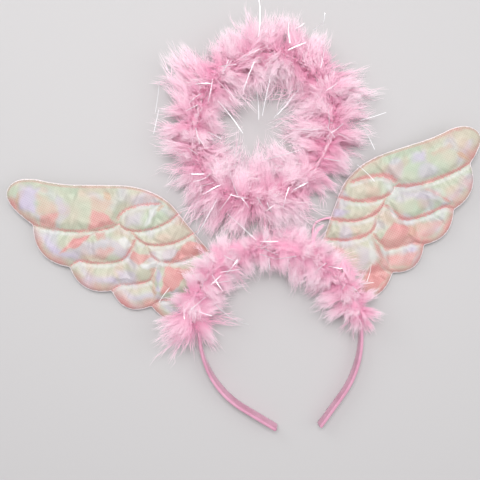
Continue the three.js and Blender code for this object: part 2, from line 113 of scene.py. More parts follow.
def makeStage():
    bpy.ops.mesh.primitive_plane_add(size=floorSettings["size"])
    floor = bpy.context.object
    floor.name = "paperFloor"
    floor.data.transform(Matrix.Translation((0, 0, -floorSettings["drop"] * mm)))
    paper = bpy.data.materials.new("matt paper")
    paper.use_nodes = True
    shader = paper.node_tree.nodes["Principled BSDF"]
    shader.inputs["Base Color"].default_value = linear(floorSettings["color"])
    shader.inputs["Roughness"].default_value = 0.9
    floor.data.materials.append(paper)
    for lamp in lights:
        data = bpy.data.lights.new(lamp["name"], "AREA")
        data.shape = "DISK"
        data.size = lamp["size"]
        data.energy = lamp["watts"]
        light = bpy.data.objects.new(lamp["name"], data)
        bpy.context.scene.collection.objects.link(light)
        light.location = lamp["at"]
        light.rotation_euler = (-light.location).to_track_quat("-Z", "Y").to_euler()
    world = bpy.data.worlds.new("softRoom")
    bpy.context.scene.world = world
    world.use_nodes = True
    walls = world.node_tree.nodes["Background"]
    walls.inputs["Color"].default_value = linear(room["color"])
    walls.inputs["Strength"].default_value = room["strength"]


makeCamera()
makeStage()
print("camera and light ready")


# Mesh helpers


def meshPiece(name, points, faces, smooth=True):
    mesh = bpy.data.meshes.new(name)
    mesh.from_pydata([tuple(p) for p in points], [], faces)
    mesh.validate()
    piece = bpy.data.objects.new(name, mesh)
    bpy.context.scene.collection.objects.link(piece)
    if smooth:
        mesh.polygons.foreach_set("use_smooth", [True] * len(mesh.polygons))
    return piece


def outwardFaces(piece):
    shape = bmesh.new()
    shape.from_mesh(piece.data)
    bmesh.ops.recalc_face_normals(shape, faces=shape.faces)
    shape.to_mesh(piece.data)
    shape.free()
    return piece


def pathFrames(path, closed=False):
    # direction of travel and the level direction to the left of it, at each point
    path = np.asarray(path, float)
    if closed:
        along = np.roll(path, -1, 0) - np.roll(path, 1, 0)
    else:
        along = np.gradient(path, axis=0)
    along[:, 2] = 0
    along /= np.linalg.norm(along, axis=1)[:, None]
    left = np.stack([-along[:, 1], along[:, 0], np.zeros(len(path))], 1)
    return path, along, left


def evenPath(points, step, closed=False):
    # the same line in even steps
    points = np.asarray(points, float)
    if closed:
        points = np.vstack([points, points[:1]])
    lengths = np.concatenate([[0], np.cumsum(np.linalg.norm(np.diff(points, axis=0), axis=1))])
    count = max(2, int(round(lengths[-1] / step)) + 1)
    places = np.linspace(0, lengths[-1], count)
    if closed:
        places = places[:-1]
    return np.stack([np.interp(places, lengths, points[:, k]) for k in range(points.shape[1])], 1)


def smoothCurve(points, stepsBetween=8):
    # a Catmull-Rom curve through the points
    points = [np.asarray(p, float) for p in points]
    ends = [2 * points[0] - points[1]] + points + [2 * points[-1] - points[-2]]
    made = []
    for i in range(1, len(ends) - 2):
        a, b, c, d = ends[i - 1 : i + 3]
        for t in np.arange(stepsBetween) / stepsBetween:
            second = 2 * a - 5 * b + 4 * c - d
            third = 3 * b - a - 3 * c + d
            made.append(0.5 * (2 * b + (c - a) * t + second * t**2 + third * t**3))
    made.append(points[-1])
    return np.array(made)


def sweptTube(path, sectionAt, closed=False):
    # points and faces of a tube; sectionAt(index, distance) gives its section as (left, up) pairs
    path, along, left = pathFrames(path, closed)
    gone = np.concatenate([[0], np.cumsum(np.linalg.norm(np.diff(path, axis=0), axis=1))])
    points, faces = [], []
    sides = 0
    for i in range(len(path)):
        section = np.asarray(sectionAt(i, gone[i]))
        sides = len(section)
        ring = path[i] + section[:, :1] * left[i] + section[:, 1:] * np.array([0, 0, 1.0])
        points.extend(ring)
    spans = len(path) if closed else len(path) - 1
    for i in range(spans):
        here, there = i * sides, ((i + 1) % len(path)) * sides
        for j in range(sides):
            k = (j + 1) % sides
            faces.append((here + j, here + k, there + k, there + j))
    if not closed:
        faces.append(tuple(range(sides)))
        faces.append(tuple(range((len(path) - 1) * sides, len(path) * sides))[::-1])
    return points, faces


def smoothStep(share):
    share = np.clip(share, 0, 1)
    return share * share * (3 - 2 * share)


def storeFloats(mesh, name, values):
    mesh.attributes.new(name, "FLOAT", "POINT").data.foreach_set("value", np.asarray(values, np.float32))


# Materials. Each is named for what the real one is.


def newMaterial(name, settings):
    # settings: constant values of the shader, by the name of the socket
    material = bpy.data.materials.new(name)
    material.use_nodes = True
    shader = material.node_tree.nodes["Principled BSDF"]
    for socket, value in settings.items():
        shader.inputs[socket].default_value = value
    return material, material.node_tree, shader


def satinRibbon():
    # Polyester satin, woven with long floats: a soft broad sheen along the band and a faint thread
    settings = {"Roughness": 0.38, "Sheen Weight": 0.35, "Sheen Roughness": 0.3}
    material, tree, shader = newMaterial("polyester satin ribbon", settings)
    place = addNode(tree, "ShaderNodeTexCoord").outputs["Object"]
    cloud = addNode(tree, "ShaderNodeTexNoise", {"Scale": 70.0, "Detail": 3.0}, {"Vector": place})
    tone = addNode(tree, "ShaderNodeValToRGB", {}, {"Fac": cloud.outputs["Fac"]})
    for stop, position, code in zip(tone.color_ramp.elements, (0.3, 0.7), ("C0839C", "D39CB3")):
        stop.position = position
        stop.color = linear(code)
    thread = addNode(tree, "ShaderNodeTexNoise", {"Scale": 1800.0, "Detail": 1.0}, {"Vector": place})
    bump = addNode(
        tree, "ShaderNodeBump", {"Strength": 0.12, "Distance": 0.0001}, {"Height": thread.outputs["Fac"]}
    )
    tree.links.new(tone.outputs["Color"], shader.inputs["Base Color"])
    tree.links.new(bump.outputs["Normal"], shader.inputs["Normal"])
    return material


def foilThread():
    # Foil-laid thread wound round steel wire: many small bright turns, so it glints in lines
    settings = {"Base Color": linear("F0B4CC"), "Metallic": 0.15, "Roughness": 0.5}
    material, tree, shader = newMaterial("pink foil thread", settings)
    place = addNode(tree, "ShaderNodeTexCoord").outputs["Object"]
    fuzz = addNode(tree, "ShaderNodeTexNoise", {"Scale": 1200.0}, {"Vector": place})
    bump = addNode(
        tree, "ShaderNodeBump", {"Strength": 0.3, "Distance": 0.0002}, {"Height": fuzz.outputs["Fac"]}
    )
    tree.links.new(bump.outputs["Normal"], shader.inputs["Normal"])
    return material


def marabouDown(name, rootHex, middleHex, tipHex):
    # Dyed marabou: barbs so fine that light goes through them, stronger in colour where they crowd at the
    # cord, and bleached to almost white at the tips
    settings = {"Roughness": 0.7, "Specular IOR Level": 0.25, "Sheen Weight": 0.2}
    material, tree, shader = newMaterial(name, settings)
    along = addNode(tree, "ShaderNodeAttribute", {"attribute_name": "along"})
    tone = addNode(tree, "ShaderNodeAttribute", {"attribute_name": "tone"})
    shifted = addNode(
        tree, "ShaderNodeMath", {"operation": "MULTIPLY_ADD", 1: 0.2, 2: -0.1}, {0: tone.outputs["Fac"]}
    )
    mixed = addNode(
        tree, "ShaderNodeMath", {"operation": "ADD"}, {0: along.outputs["Fac"], 1: shifted.outputs[0]}
    )
    ramp = addNode(tree, "ShaderNodeValToRGB", {}, {"Fac": mixed.outputs[0]})
    ramp.color_ramp.elements[0].position = 0.05
    ramp.color_ramp.elements[0].color = linear(rootHex)
    ramp.color_ramp.elements[1].position = 1.0
    ramp.color_ramp.elements[1].color = linear(tipHex)
    ramp.color_ramp.elements.new(0.5).color = linear(middleHex)
    tree.links.new(ramp.outputs["Color"], shader.inputs["Base Color"])
    through = addNode(tree, "ShaderNodeBsdfTranslucent", {}, {"Color": ramp.outputs["Color"]})
    barbs = addNode(
        tree, "ShaderNodeMixShader", {0: 0.22}, {1: shader.outputs["BSDF"], 2: through.outputs["BSDF"]}
    )
    tree.links.new(barbs.outputs["Shader"], tree.nodes["Material Output"].inputs["Surface"])
    return material


def metallisedFilm():
    # Polyester film, metallised and slit to fine strips: mirror-bright where it catches the light
    settings = {"Base Color": linear("F6F5F8"), "Metallic": 0.6, "Roughness": 0.38}
    material, tree, shader = newMaterial("metallised polyester film", settings)
    place = addNode(tree, "ShaderNodeTexCoord").outputs["Object"]
    ripple = addNode(tree, "ShaderNodeTexNoise", {"Scale": 400.0}, {"Vector": place})
    bump = addNode(
        tree, "ShaderNodeBump", {"Strength": 0.25, "Distance": 0.0002}, {"Height": ripple.outputs["Fac"]}
    )
    tree.links.new(bump.outputs["Normal"], shader.inputs["Normal"])
    return material


def spunThread(name, code):
    # Spun polyester or twisted cotton: matt, with a little down on it
    return newMaterial(name, {"Base Color": linear(code), "Roughness": 0.7, "Sheen Weight": 0.3})[0]


# the film's colours; white is painted highlight, and salmon is the film's colour with painted shade
film = {
    "ground": "ACB7A2",  # where it lies flat, with cream in clouds
    "cream": "BCB4A2",
    "lilac": "B9ADC5",
    "white": "CDCDCC",
    "peach": "C59F91",
    "orange": "C08E71",
    "salmon": "CA8686",
    # between the raised threads, in millimetres: a little coarser than the real 1.3, so that it shows
    "embossing": 1.5,
}


def pearlCloth():
    # Iridescent film laminated to woven cloth and embossed with its cross-hatch: green and cream where it
    # lies flat, and lilac, white, peach, orange or salmon where it turns. An attribute for each of those
    # says how far. Those turned colours are painted in: the white, and the lilac by the lower edge, are
    # painted highlight where the film faces the light, and the salmon is partly painted shade where it faces
    # away.
    settings = {"Metallic": 0.08, "Roughness": 0.5, "Coat Weight": 0.06, "Coat Roughness": 0.3}
    material, tree, shader = newMaterial("iridescent film on woven polyester", settings)
    place = addNode(tree, "ShaderNodeTexCoord").outputs["Object"]
    cloud = addNode(tree, "ShaderNodeTexNoise", {"Scale": 38.0, "Detail": 2.0}, {"Vector": place})
    ground = addNode(tree, "ShaderNodeValToRGB", {}, {"Fac": cloud.outputs["Fac"]})
    for stop, position, code in zip(ground.color_ramp.elements, (0.34, 0.6), ("ground", "cream")):
        stop.position = position
        stop.color = linear(film[code])
    turned = addNode(tree, "ShaderNodeMapping", {"Rotation": (0, 0, math.radians(38))}, {"Vector": place})
    crossed = []
    for direction in ("X", "Y"):
        wave = addNode(
            tree,
            "ShaderNodeTexWave",
            {
                "bands_direction": direction,
                "Scale": math.pi / (10 * film["embossing"] * mm),  # one wave for each raised thread
                "Distortion": 0.6,
                "Detail": 0.0,
            },
            {"Vector": turned.outputs["Vector"]},
        )
        crossed.append(wave.outputs["Fac"])
    weave = addNode(tree, "ShaderNodeMath", {"operation": "MAXIMUM"}, {0: crossed[0], 1: crossed[1]})
    # the raised threads turn last, so half turned film shows as a fine cross-hatch
    broken = addNode(
        tree, "ShaderNodeMath", {"operation": "MULTIPLY_ADD", 1: -0.95, 2: 1.75}, {0: weave.outputs[0]}
    )
    color = ground.outputs["Color"]
    for name in ("lilac", "white", "peach", "orange", "salmon"):
        amount = addNode(tree, "ShaderNodeAttribute", {"attribute_name": name})
        share = addNode(
            tree,
            "ShaderNodeMath",
            {"operation": "MULTIPLY", "use_clamp": True},
            {0: amount.outputs["Fac"], 1: broken.outputs[0]},
        )
        mixed = addNode(tree, "ShaderNodeMix", {"data_type": "RGBA", 7: linear(film[name])})
        tree.links.new(share.outputs[0], mixed.inputs[0])
        tree.links.new(color, mixed.inputs[6])
        color = mixed.outputs[2]
    # painted shade: the colour is darkened a little between the raised threads
    shade = addNode(tree, "ShaderNodeMix", {"data_type": "RGBA", "blend_type": "MULTIPLY", 0: 0.16})
    tree.links.new(color, shade.inputs[6])
    tree.links.new(weave.outputs[0], shade.inputs[7])
    bump = addNode(
        tree, "ShaderNodeBump", {"Strength": 0.5, "Distance": 0.00015}, {"Height": weave.outputs[0]}
    )
    tree.links.new(shade.outputs[2], shader.inputs["Base Color"])
    tree.links.new(bump.outputs["Normal"], shader.inputs["Normal"])
    return material


# Hair band: a flat strip bent to a horseshoe and wound with satin ribbon

band = {
    "thickness": 2.4,
    "corner": 0.75,
    "leftBend": 68,
    "leftSweep": 49,
    "leftStraight": 29,
    "rightBend": 76,
    "rightSweep": 46,
    "rightStraight": 28,
    "ribbonPitch": 8.5,  # from one turn of the ribbon to the next
    "ribbonEdge": 0.1,  # thickness of the turned edge
    "step": 0.8,
    "endPinch": 0.18,
    # where the ribbon is gathered, beside the left end of the boa
    "crumple": 0.22,
    "crumplePitch": 2.1,
    "crumpleLength": 9,
    "crumplePast": 4,  # past the leg's bend
    "leanLength": 35,  # over which a leg turns into its lean
    # how far the legs' upper edges stand out for each millimetre of height
    "leftFlare": 0.19,
    "rightFlare": 0.09,
}


def bandCentreLine():
    radius = crownRadius / mm - band["thickness"] / 2

    def leg(side, bend, sweep, straight):
        middle = radius - bend
        line = []
        for a in np.radians(np.linspace(0, sweep, 40)):
            line.append((side * (middle + bend * math.cos(a)), -bend * math.sin(a)))
        heading = math.radians(sweep)
        x, y = line[-1]
        line.append((x - side * math.sin(heading) * straight, y - math.cos(heading) * straight))
        return line

    left = leg(-1, band["leftBend"], band["leftSweep"], band["leftStraight"])[::-1]
    right = leg(1, band["rightBend"], band["rightSweep"], band["rightStraight"])
    arc = [(radius * math.cos(a), radius * math.sin(a)) for a in np.radians(np.linspace(180, 0, 120))]
    flat = evenPath([*left, *arc[1:-1], *right], band["step"])
    return [fromCrown(x, y, bandWidth / mm / 2) for x, y in flat]


def roundedSection(width, height, corner, perCorner=4):
    half = (width / 2 - corner, height / 2 - corner)
    signs = [(1, 1), (-1, 1), (-1, -1), (1, -1)]
    section = []
    for turn, (a, b) in enumerate(signs):
        for k in range(perCorner + 1):
            angle = math.radians(90 * turn + 90 * k / perCorner)
            section.append((a * half[0] + corner * math.cos(angle), b * half[1] + corner * math.sin(angle)))
    return np.array(section)


def makeBand():
    line = bandCentreLine()
    base = roundedSection(band["thickness"], bandWidth / mm, band["corner"])
    around = np.linspace(0, 1, len(base), endpoint=False)
    reach = np.linalg.norm(base, axis=1)[:, None]
    total = len(line) * band["step"]
    leftLeg = band["leftStraight"] + math.radians(band["leftSweep"]) * band["leftBend"]
    rightLeg = band["rightStraight"] + math.radians(band["rightSweep"]) * band["rightBend"]

    def section(i, gone):
        s = gone / mm
        turn = (s / band["ribbonPitch"] + around) % 1
        lift = -band["ribbonEdge"] * turn
        near = math.exp(-(((s - leftLeg - band["crumplePast"]) / band["crumpleLength"]) ** 2))
        lift = lift + band["crumple"] * near * np.sin(2 * math.pi * (s / band["crumplePitch"] + around * 1.5))
        tip = min(s, total - s) / band["corner"]
        pinch = 1 - band["endPinch"] * max(0, 1 - tip) ** 2
        outline = base * pinch * (1 + lift[:, None] / reach)
        leftLean = band["leftFlare"] * smoothStep((leftLeg - s) / band["leanLength"])
        rightLean = band["rightFlare"] * smoothStep((s - total + rightLeg) / band["leanLength"])
        outline[:, 0] += outline[:, 1] * (leftLean + rightLean)
        outline[:, 1] = np.maximum(outline[:, 1], -bandWidth / mm / 2)  # the lower edge lies flat
        return outline * mm

    points, faces = sweptTube(line, section)
    piece = outwardFaces(meshPiece("satinBand", points, faces))
    piece.data.materials.append(satinRibbon())
    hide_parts("hair_band")
    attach(piece, "root")
    print("hair band made,", len(faces), "faces")


makeBand()


# Halo wire and stay, wound with foil thread

hoop = {
    "longRadius": 56,
    "shortRadius": 49.5,
    "turn": 48,  # of the long radius, in degrees
    "height": 8,
    "wireRadius": 1.1,
    "stem": 38,
    "lean": 8.7,
    "bend": 4.4,  # how far up the stem its foot has straightened out
    "footAngles": (26, 20, 13, 6, 0),  # of the foot's bends, left of the stem
}
foil = {"pitch": 1.5, "ridge": 0.1, "sides": 10, "step": 0.5}
stay = {
    "footAngle": 50,
    "radius": 0.9,
    "height": 3.3,
    # along the straight way to the wing and to the left of it, as shares of that way
    "bends": [(0.2, 0.26), (0.5, 0.4), (0.76, 0.4), (0.96, 0.14)],
    "share": 0.97,  # of that way, where it ends
    "into": {"out": -0.045, "up": 0.52},
}
wireLow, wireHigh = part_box("halo_wire")
hoopTurn = math.radians(hoop["turn"])
hoopReach = Vector(
    (
        math.hypot(hoop["longRadius"] * math.cos(hoopTurn), hoop["shortRadius"] * math.sin(hoopTurn)),
        math.hypot(hoop["longRadius"] * math.sin(hoopTurn), hoop["shortRadius"] * math.cos(hoopTurn)),
        0,
    )
)
hoopCentre = Vector((wireHigh.x, wireHigh.y, 0)) - (hoopReach + Vector((1, 1, 0)) * hoop["wireRadius"]) * mm
hoopCentre.z = hoop["height"] * mm


def hoopLine(count=360):
    line = []
    for u in np.linspace(0, 2 * math.pi, count, endpoint=False):
        a, b = hoop["longRadius"] * math.cos(u), hoop["shortRadius"] * math.sin(u)
        x = a * math.cos(hoopTurn) - b * math.sin(hoopTurn)
        y = a * math.sin(hoopTurn) + b * math.cos(hoopTurn)
        line.append(hoopCentre + Vector((x, y, 0)) * mm)
    return np.array(line)


def stemLine():
    foot = crownRadius / mm + wireGap + hoop["wireRadius"]
    points = []
    for turn in hoop["footAngles"]:
        angle = math.radians(90 + turn)
        points.append(fromCrown(foot * math.cos(angle), foot * math.sin(angle), bandWidth / mm / 2))
    lean = Vector((math.sin(math.radians(hoop["lean"])), math.cos(math.radians(hoop["lean"])), 0))
    points.append(points[-1] + lean * hoop["bend"] * mm)
    points.append(Vector((*(points[-2] + lean * hoop["stem"] * mm).xy, hoop["height"] * mm)))
    return smoothCurve(points, 14)


def woundSection(radius):
    turns = np.linspace(0, 2 * math.pi, foil["sides"], endpoint=False)

    def section(i, gone):
        phase = gone / mm / foil["pitch"] * 2 * math.pi
        swell = radius - foil["ridge"] * (0.5 + 0.5 * np.cos(turns + phase))
        return np.stack([swell * np.cos(turns), swell * np.sin(turns)], 1) * mm

    return section


def makeWires():
    material = foilThread()
    wound = woundSection(hoop["wireRadius"])
    hoopPoints, hoopFaces = sweptTube(evenPath(hoopLine(), foil["step"] * mm, True), wound, True)
    stemPoints, stemFaces = sweptTube(evenPath(stemLine(), foil["step"] * mm), wound)
    faces = hoopFaces + [tuple(k + len(hoopPoints) for k in face) for face in stemFaces]
    piece = outwardFaces(meshPiece("haloWire", hoopPoints + stemPoints, faces))
    piece.data.materials.append(material)
    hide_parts("halo_wire")
    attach(piece, "root")

    angle = math.radians(stay["footAngle"])
    radius = crownRadius / mm + wireGap + stay["radius"]
    foot = fromCrown(radius * math.cos(angle), radius * math.sin(angle), stay["height"])
    end = wingPlace(stay["into"], wings["right"])
    reach = Vector((end[0], end[1], foot.z)) - foot
    left = Vector((-reach.y, reach.x, 0))
    bends = [foot + reach * along + left * off for along, off in stay["bends"]]
    line = evenPath(smoothCurve([foot, *bends, foot + reach * stay["share"]]), foil["step"] * mm)
    points, faces = sweptTube(line, woundSection(stay["radius"]))
    piece = outwardFaces(meshPiece("wingStay", points, faces))
    piece.data.materials.append(material)
    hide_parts("wing_stay")
    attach(piece, "root")
    print("wires made")


# Wings. out is a share of reach from the band's widest point, up a share of rise from the wing's seat.

wing = {
    "reach": 121,
    "rise": 127.5,
    "wadding": 4.4,  # full thickness between the seams, before the cloth swells
    "stitchThickness": 1.6,
    "rimThickness": 1.0,
    "roll": 7.5,  # how far from a seam the wadding reaches its full height
    "rimRoll": 6.5,  # how far from the edge it does the same
    "middle": 3.3,  # height of the root's middle above the table
    "spacing": 1.7,  # between the points of the cloth
    "gather": 0.2,  # height of the small gathers along a stitch line
    "gatherPitch": 2.6,
    "crinkle": 0.16,
    "rimWidth": 0.75,  # of the thread along the edge
}
quilting = {"times": 10, "pressure": 7, "mass": 0.1, "ease": 0.03, "frames": 20, "cap": 1.6}
# band and the depth under it: width and strength of the salmon band above a seam, painted shade where each
# feather rolls down to it, with the film's own salmon
wings = {
    "left": {
        "side": -1,
        "seat": 18,
        "reachShare": 1,
        "drawIn": 0.0,
        "tipLift": 7,
        "band": 1.3,  # width of the salmon band above a seam
        "salmonShadeDepth": 0.7,
    },
    "right": {
        "side": 1,
        "seat": 11.5,
        "reachShare": 0.975,
        "drawIn": 0.12,
        "tipLift": 11,
        "band": 2.2,
        "salmonShadeDepth": 0.75,
    },
}
# The feathers' ends, from the root to the tip. bow is how far the edge bulges on its way to the next corner,
# as a share of that way.
scallopCorners = [
    {"out": -0.095, "up": -0.039, "bow": 0},
    {"out": 0.004, "up": 0.005, "bow": 0.17},
    {"out": 0.248, "up": 0.141, "bow": 0.245},
    {"out": 0.474, "up": 0.271, "bow": 0.21},
    {"out": 0.702, "up": 0.451, "bow": 0.215},
    {"out": 0.876, "up": 0.729, "bow": 0},
]
leadingEdge = [
    (0.876, 0.729),
    (0.934, 0.792),
    (0.979, 0.855),
    (1.0, 0.918),
    (0.975, 0.973),
    (0.905, 1.0),
    (0.814, 0.988),
    (0.731, 0.957),
    (0.607, 0.922),
    (0.401, 0.886),
    (0.252, 0.855),
    (0.128, 0.8),
    (0.029, 0.718),
    (-0.045, 0.596),
    (-0.128, 0.455),
    (-0.211, 0.329),
    (-0.285, 0.212),
]
stitchLines = {
    "underFirstFeather": [
        (0.876, 0.729), (0.798, 0.694), (0.715, 0.667), (0.616, 0.643), (0.5, 0.63), (0.417, 0.631),
        (0.355, 0.647),
    ],
    "underSecondFeather": [
        (0.702, 0.451), (0.64, 0.471), (0.566, 0.447), (0.475, 0.431), (0.401, 0.429), (0.347, 0.447),
        (0.306, 0.49), (0.273, 0.537),
    ],
    "underThirdFeather": [
        (0.474, 0.271), (0.417, 0.29), (0.351, 0.285), (0.285, 0.281), (0.231, 0.289), (0.194, 0.329),
        (0.165, 0.38),
    ],
    "underFourthFeather": [(0.248, 0.141), (0.202, 0.158), (0.12, 0.155), (0.037, 0.165)],
    "aroundFirstCovert": [
        (0.087, 0.718), (0.169, 0.729), (0.252, 0.728), (0.318, 0.71), (0.355, 0.671), (0.347, 0.627),
        (0.302, 0.596), (0.219, 0.58), (0.12, 0.588), (0.037, 0.614), (-0.029, 0.651),
    ],
    "underSecondCovert": [
        (0.293, 0.592), (0.264, 0.541), (0.215, 0.5), (0.136, 0.48), (0.054, 0.478), (-0.029, 0.494),
        (-0.103, 0.525),
    ],
    "underThirdCovert": [
        (0.215, 0.5), (0.202, 0.439), (0.157, 0.392), (0.079, 0.37), (-0.012, 0.371), (-0.095, 0.388),
        (-0.178, 0.408),
    ],
}

# Folds that handling has left. width and rise are in millimetres.
folds = {
    "left": [
        {"from": (0.66, 0.66), "to": (0.5, 0.98), "width": 9, "rise": 1.3},
        {"from": (0.72, 0.55), "to": (0.5, 0.64), "width": 6, "rise": 1.2},
        {"from": (0.18, 0.62), "to": (0.08, 0.76), "width": 5, "rise": 1.0},
        {"from": (0.3, 0.38), "to": (0.06, 0.4), "width": 6, "rise": 1.3},
        {"from": (0.22, 0.16), "to": (0.13, 0.38), "width": 6, "rise": 1.1},
    ],
    "right": [
        {"from": (0.7, 0.46), "to": (0.5, 0.6), "width": 8, "rise": 1.2},
        {"from": (0.92, 0.76), "to": (0.84, 0.86), "width": 7, "rise": 1.0},
        {"from": (0.44, 0.3), "to": (0.34, 0.42), "width": 7, "rise": 1.2},
        {"from": (0.23, 0.16), "to": (0.12, 0.36), "width": 6, "rise": 1.2},
    ],
}

# Facets where folded film has turned its colour, each between four corners; the white ones are painted
# highlights along folds and seams. edge is how soft its sides are, in millimetres.
facets = {
    "left": [
        {"film": "orange", "amount": 0.6, "edge": 1.5,
         "corners": [(0.93, 0.92), (0.87, 0.95), (0.89, 0.89), (0.95, 0.86)]},
        {"film": "lilac", "amount": 0.9, "edge": 4,
         "corners": [(0.9, 0.97), (0.8, 0.93), (0.84, 0.79), (0.94, 0.83)]},
        {"film": "peach", "amount": 0.7, "edge": 5,
         "corners": [(0.81, 0.9), (0.7, 0.82), (0.71, 0.77), (0.83, 0.78)]},
        {"film": "salmon", "amount": 0.75, "edge": 3.5,
         "corners": [(0.82, 0.78), (0.71, 0.77), (0.74, 0.68), (0.83, 0.71)]},
        {"film": "lilac", "amount": 0.5, "edge": 3,
         "corners": [(0.69, 0.9), (0.64, 0.78), (0.69, 0.74), (0.72, 0.83)]},
        {"film": "salmon", "amount": 0.95, "edge": 2.5,
         "corners": [(0.5, 0.76), (0.43, 0.73), (0.37, 0.65), (0.55, 0.64)]},
        {"film": "peach", "amount": 0.5, "edge": 4,
         "corners": [(0.49, 0.84), (0.37, 0.78), (0.42, 0.72), (0.51, 0.75)]},
        {"film": "orange", "amount": 0.5, "edge": 1.5,
         "corners": [(0.41, 0.84), (0.38, 0.83), (0.38, 0.8), (0.42, 0.81)]},
        {"film": "salmon", "amount": 1.0, "edge": 1.4,
         "corners": [(0.74, 0.54), (0.64, 0.61), (0.52, 0.62), (0.62, 0.56)]},
        {"film": "salmon", "amount": 0.7, "edge": 1.6,
         "corners": [(0.51, 0.62), (0.45, 0.62), (0.46, 0.58), (0.5, 0.58)]},
        {"film": "salmon", "amount": 0.6, "edge": 4,
         "corners": [(0.56, 0.49), (0.49, 0.53), (0.41, 0.51), (0.49, 0.45)]},
        {"film": "white", "amount": 0.9, "edge": 2,
         "corners": [(0.38, 0.56), (0.33, 0.57), (0.3, 0.51), (0.35, 0.49)]},
        {"film": "salmon", "amount": 0.9, "edge": 1.4,
         "corners": [(0.3, 0.48), (0.19, 0.43), (0.28, 0.39), (0.33, 0.44)]},
        {"film": "white", "amount": 1.0, "edge": 1.4,
         "corners": [(0.27, 0.39), (0.13, 0.4), (0.17, 0.355), (0.26, 0.365)]},
        {"film": "salmon", "amount": 0.95, "edge": 1.6,
         "corners": [(-0.03, 0.48), (-0.13, 0.45), (-0.16, 0.4), (0.09, 0.37)]},
        {"film": "salmon", "amount": 0.95, "edge": 1.6,
         "corners": [(0.12, 0.35), (-0.04, 0.31), (0.08, 0.22), (0.18, 0.19)]},
        {"film": "white", "amount": 0.8, "edge": 1.4,
         "corners": [(0.17, 0.47), (0.12, 0.45), (0.13, 0.38), (0.16, 0.39)]},
        {"film": "white", "amount": 0.9, "edge": 1.4,
         "corners": [(0.15, 0.7), (0.09, 0.72), (0.16, 0.62), (0.2, 0.61)]},
        {"film": "orange", "amount": 0.6, "edge": 1.2,
         "corners": [(0.08, 0.72), (0.06, 0.71), (0.1, 0.68), (0.11, 0.69)]},
        {"film": "peach", "amount": 0.8, "edge": 1.4,
         "corners": [(0.21, 0.36), (0.19, 0.36), (0.21, 0.18), (0.23, 0.18)]},
        {"film": "lilac", "amount": 0.9, "edge": 1.8,
         "corners": [(0.18, 0.35), (0.15, 0.35), (0.18, 0.22), (0.2, 0.23)]},
        {"film": "lilac", "amount": 0.6, "edge": 5,
         "corners": [(0.42, 0.38), (0.3, 0.36), (0.32, 0.26), (0.42, 0.29)]},
        {"film": "lilac", "amount": 0.5, "edge": 6,
         "corners": [(0.3, 0.7), (0.2, 0.7), (0.22, 0.62), (0.32, 0.63)]},
    ],
    "right": [
        {"film": "salmon", "amount": 0.9, "edge": 2,
         "corners": [(0.19, 0.34), (0.31, 0.43), (0.47, 0.36), (0.45, 0.28), (0.22, 0.28)]},
        {"film": "orange", "amount": 0.6, "edge": 2.5,
         "corners": [(0.4, 0.4), (0.46, 0.38), (0.43, 0.32), (0.38, 0.34)]},
        {"film": "salmon", "amount": 0.7, "edge": 3.5,
         "corners": [(0.22, 0.24), (0.44, 0.24), (0.37, 0.16), (0.24, 0.18)]},
        {"film": "salmon", "amount": 0.9, "edge": 1.6,
         "corners": [(0.55, 0.6), (0.61, 0.58), (0.71, 0.48), (0.65, 0.51)]},
        {"film": "salmon", "amount": 0.6, "edge": 4,
         "corners": [(0.44, 0.41), (0.62, 0.39), (0.53, 0.31), (0.44, 0.32)]},
        {"film": "salmon", "amount": 0.6, "edge": 2.5,
         "corners": [(0.16, 0.37), (0.2, 0.29), (0.24, 0.13), (0.18, 0.18)]},
        {"film": "white", "amount": 0.5, "edge": 2,
         "corners": [(0.0, 0.21), (0.15, 0.22), (0.16, 0.14), (0.0, 0.13)]},
        {"film": "salmon", "amount": 0.9, "edge": 2.5,
         "corners": [(0.15, 0.22), (0.23, 0.13), (0.09, 0.03), (0.0, 0.07), (0.05, 0.14)]},
        {"film": "white", "amount": 0.6, "edge": 2.5,
         "corners": [(0.13, 0.36), (0.16, 0.34), (0.15, 0.2), (0.12, 0.22)]},
        {"film": "lilac", "amount": 0.8, "edge": 3,
         "corners": [(-0.06, 0.59), (0.05, 0.55), (-0.01, 0.52), (-0.07, 0.53)]},
        {"film": "lilac", "amount": 0.8, "edge": 4,
         "corners": [(0.5, 0.85), (0.59, 0.85), (0.59, 0.77), (0.5, 0.78)]},
        {"film": "peach", "amount": 0.6, "edge": 2.5,
         "corners": [(0.62, 0.83), (0.76, 0.88), (0.77, 0.85), (0.65, 0.81)]},
        {"film": "orange", "amount": 0.55, "edge": 2,
         "corners": [(0.78, 0.82), (0.83, 0.8), (0.87, 0.75), (0.81, 0.78)]},
        {"film": "salmon", "amount": 0.6, "edge": 2,
         "corners": [(0.81, 1.0), (0.86, 1.0), (0.89, 0.96), (0.82, 0.98)]},
        {"film": "lilac", "amount": 0.6, "edge": 5,
         "corners": [(0.33, 0.62), (0.62, 0.59), (0.65, 0.51), (0.41, 0.56)]},
        {"film": "salmon", "amount": 0.7, "edge": 2,
         "corners": [(-0.16, 0.35), (-0.08, 0.35), (-0.01, 0.3), (-0.11, 0.3)]},
        {"film": "white", "amount": 0.9, "edge": 1.4,
         "corners": [(0.28, 0.54), (0.31, 0.53), (0.35, 0.45), (0.32, 0.46)]},
        {"film": "white", "amount": 0.8, "edge": 2,
         "corners": [(0.31, 0.66), (0.37, 0.63), (0.36, 0.58), (0.31, 0.61)]},
    ],
}


def wingPlace(row, side):
    # a row of the wing's tables as a place in metres
    out, up = (row["out"], row["up"]) if isinstance(row, dict) else row

    def spread(a, b):
        reach = wing["reach"] * side["reachShare"]
        return np.array([crownRadius / mm + a * reach, side["seat"] + b * wing["rise"]])

    pivot = spread(scallopCorners[2]["out"], scallopCorners[2]["up"])
    reach = np.linalg.norm(spread(1, 1) - pivot)
    point = spread(out, up)
    share = np.linalg.norm(point - pivot) / reach
    point = pivot + (point - pivot) * (1 - side["drawIn"] * share**2)
    return np.array(fromCrown(side["side"] * point[0], point[1]))[:2]


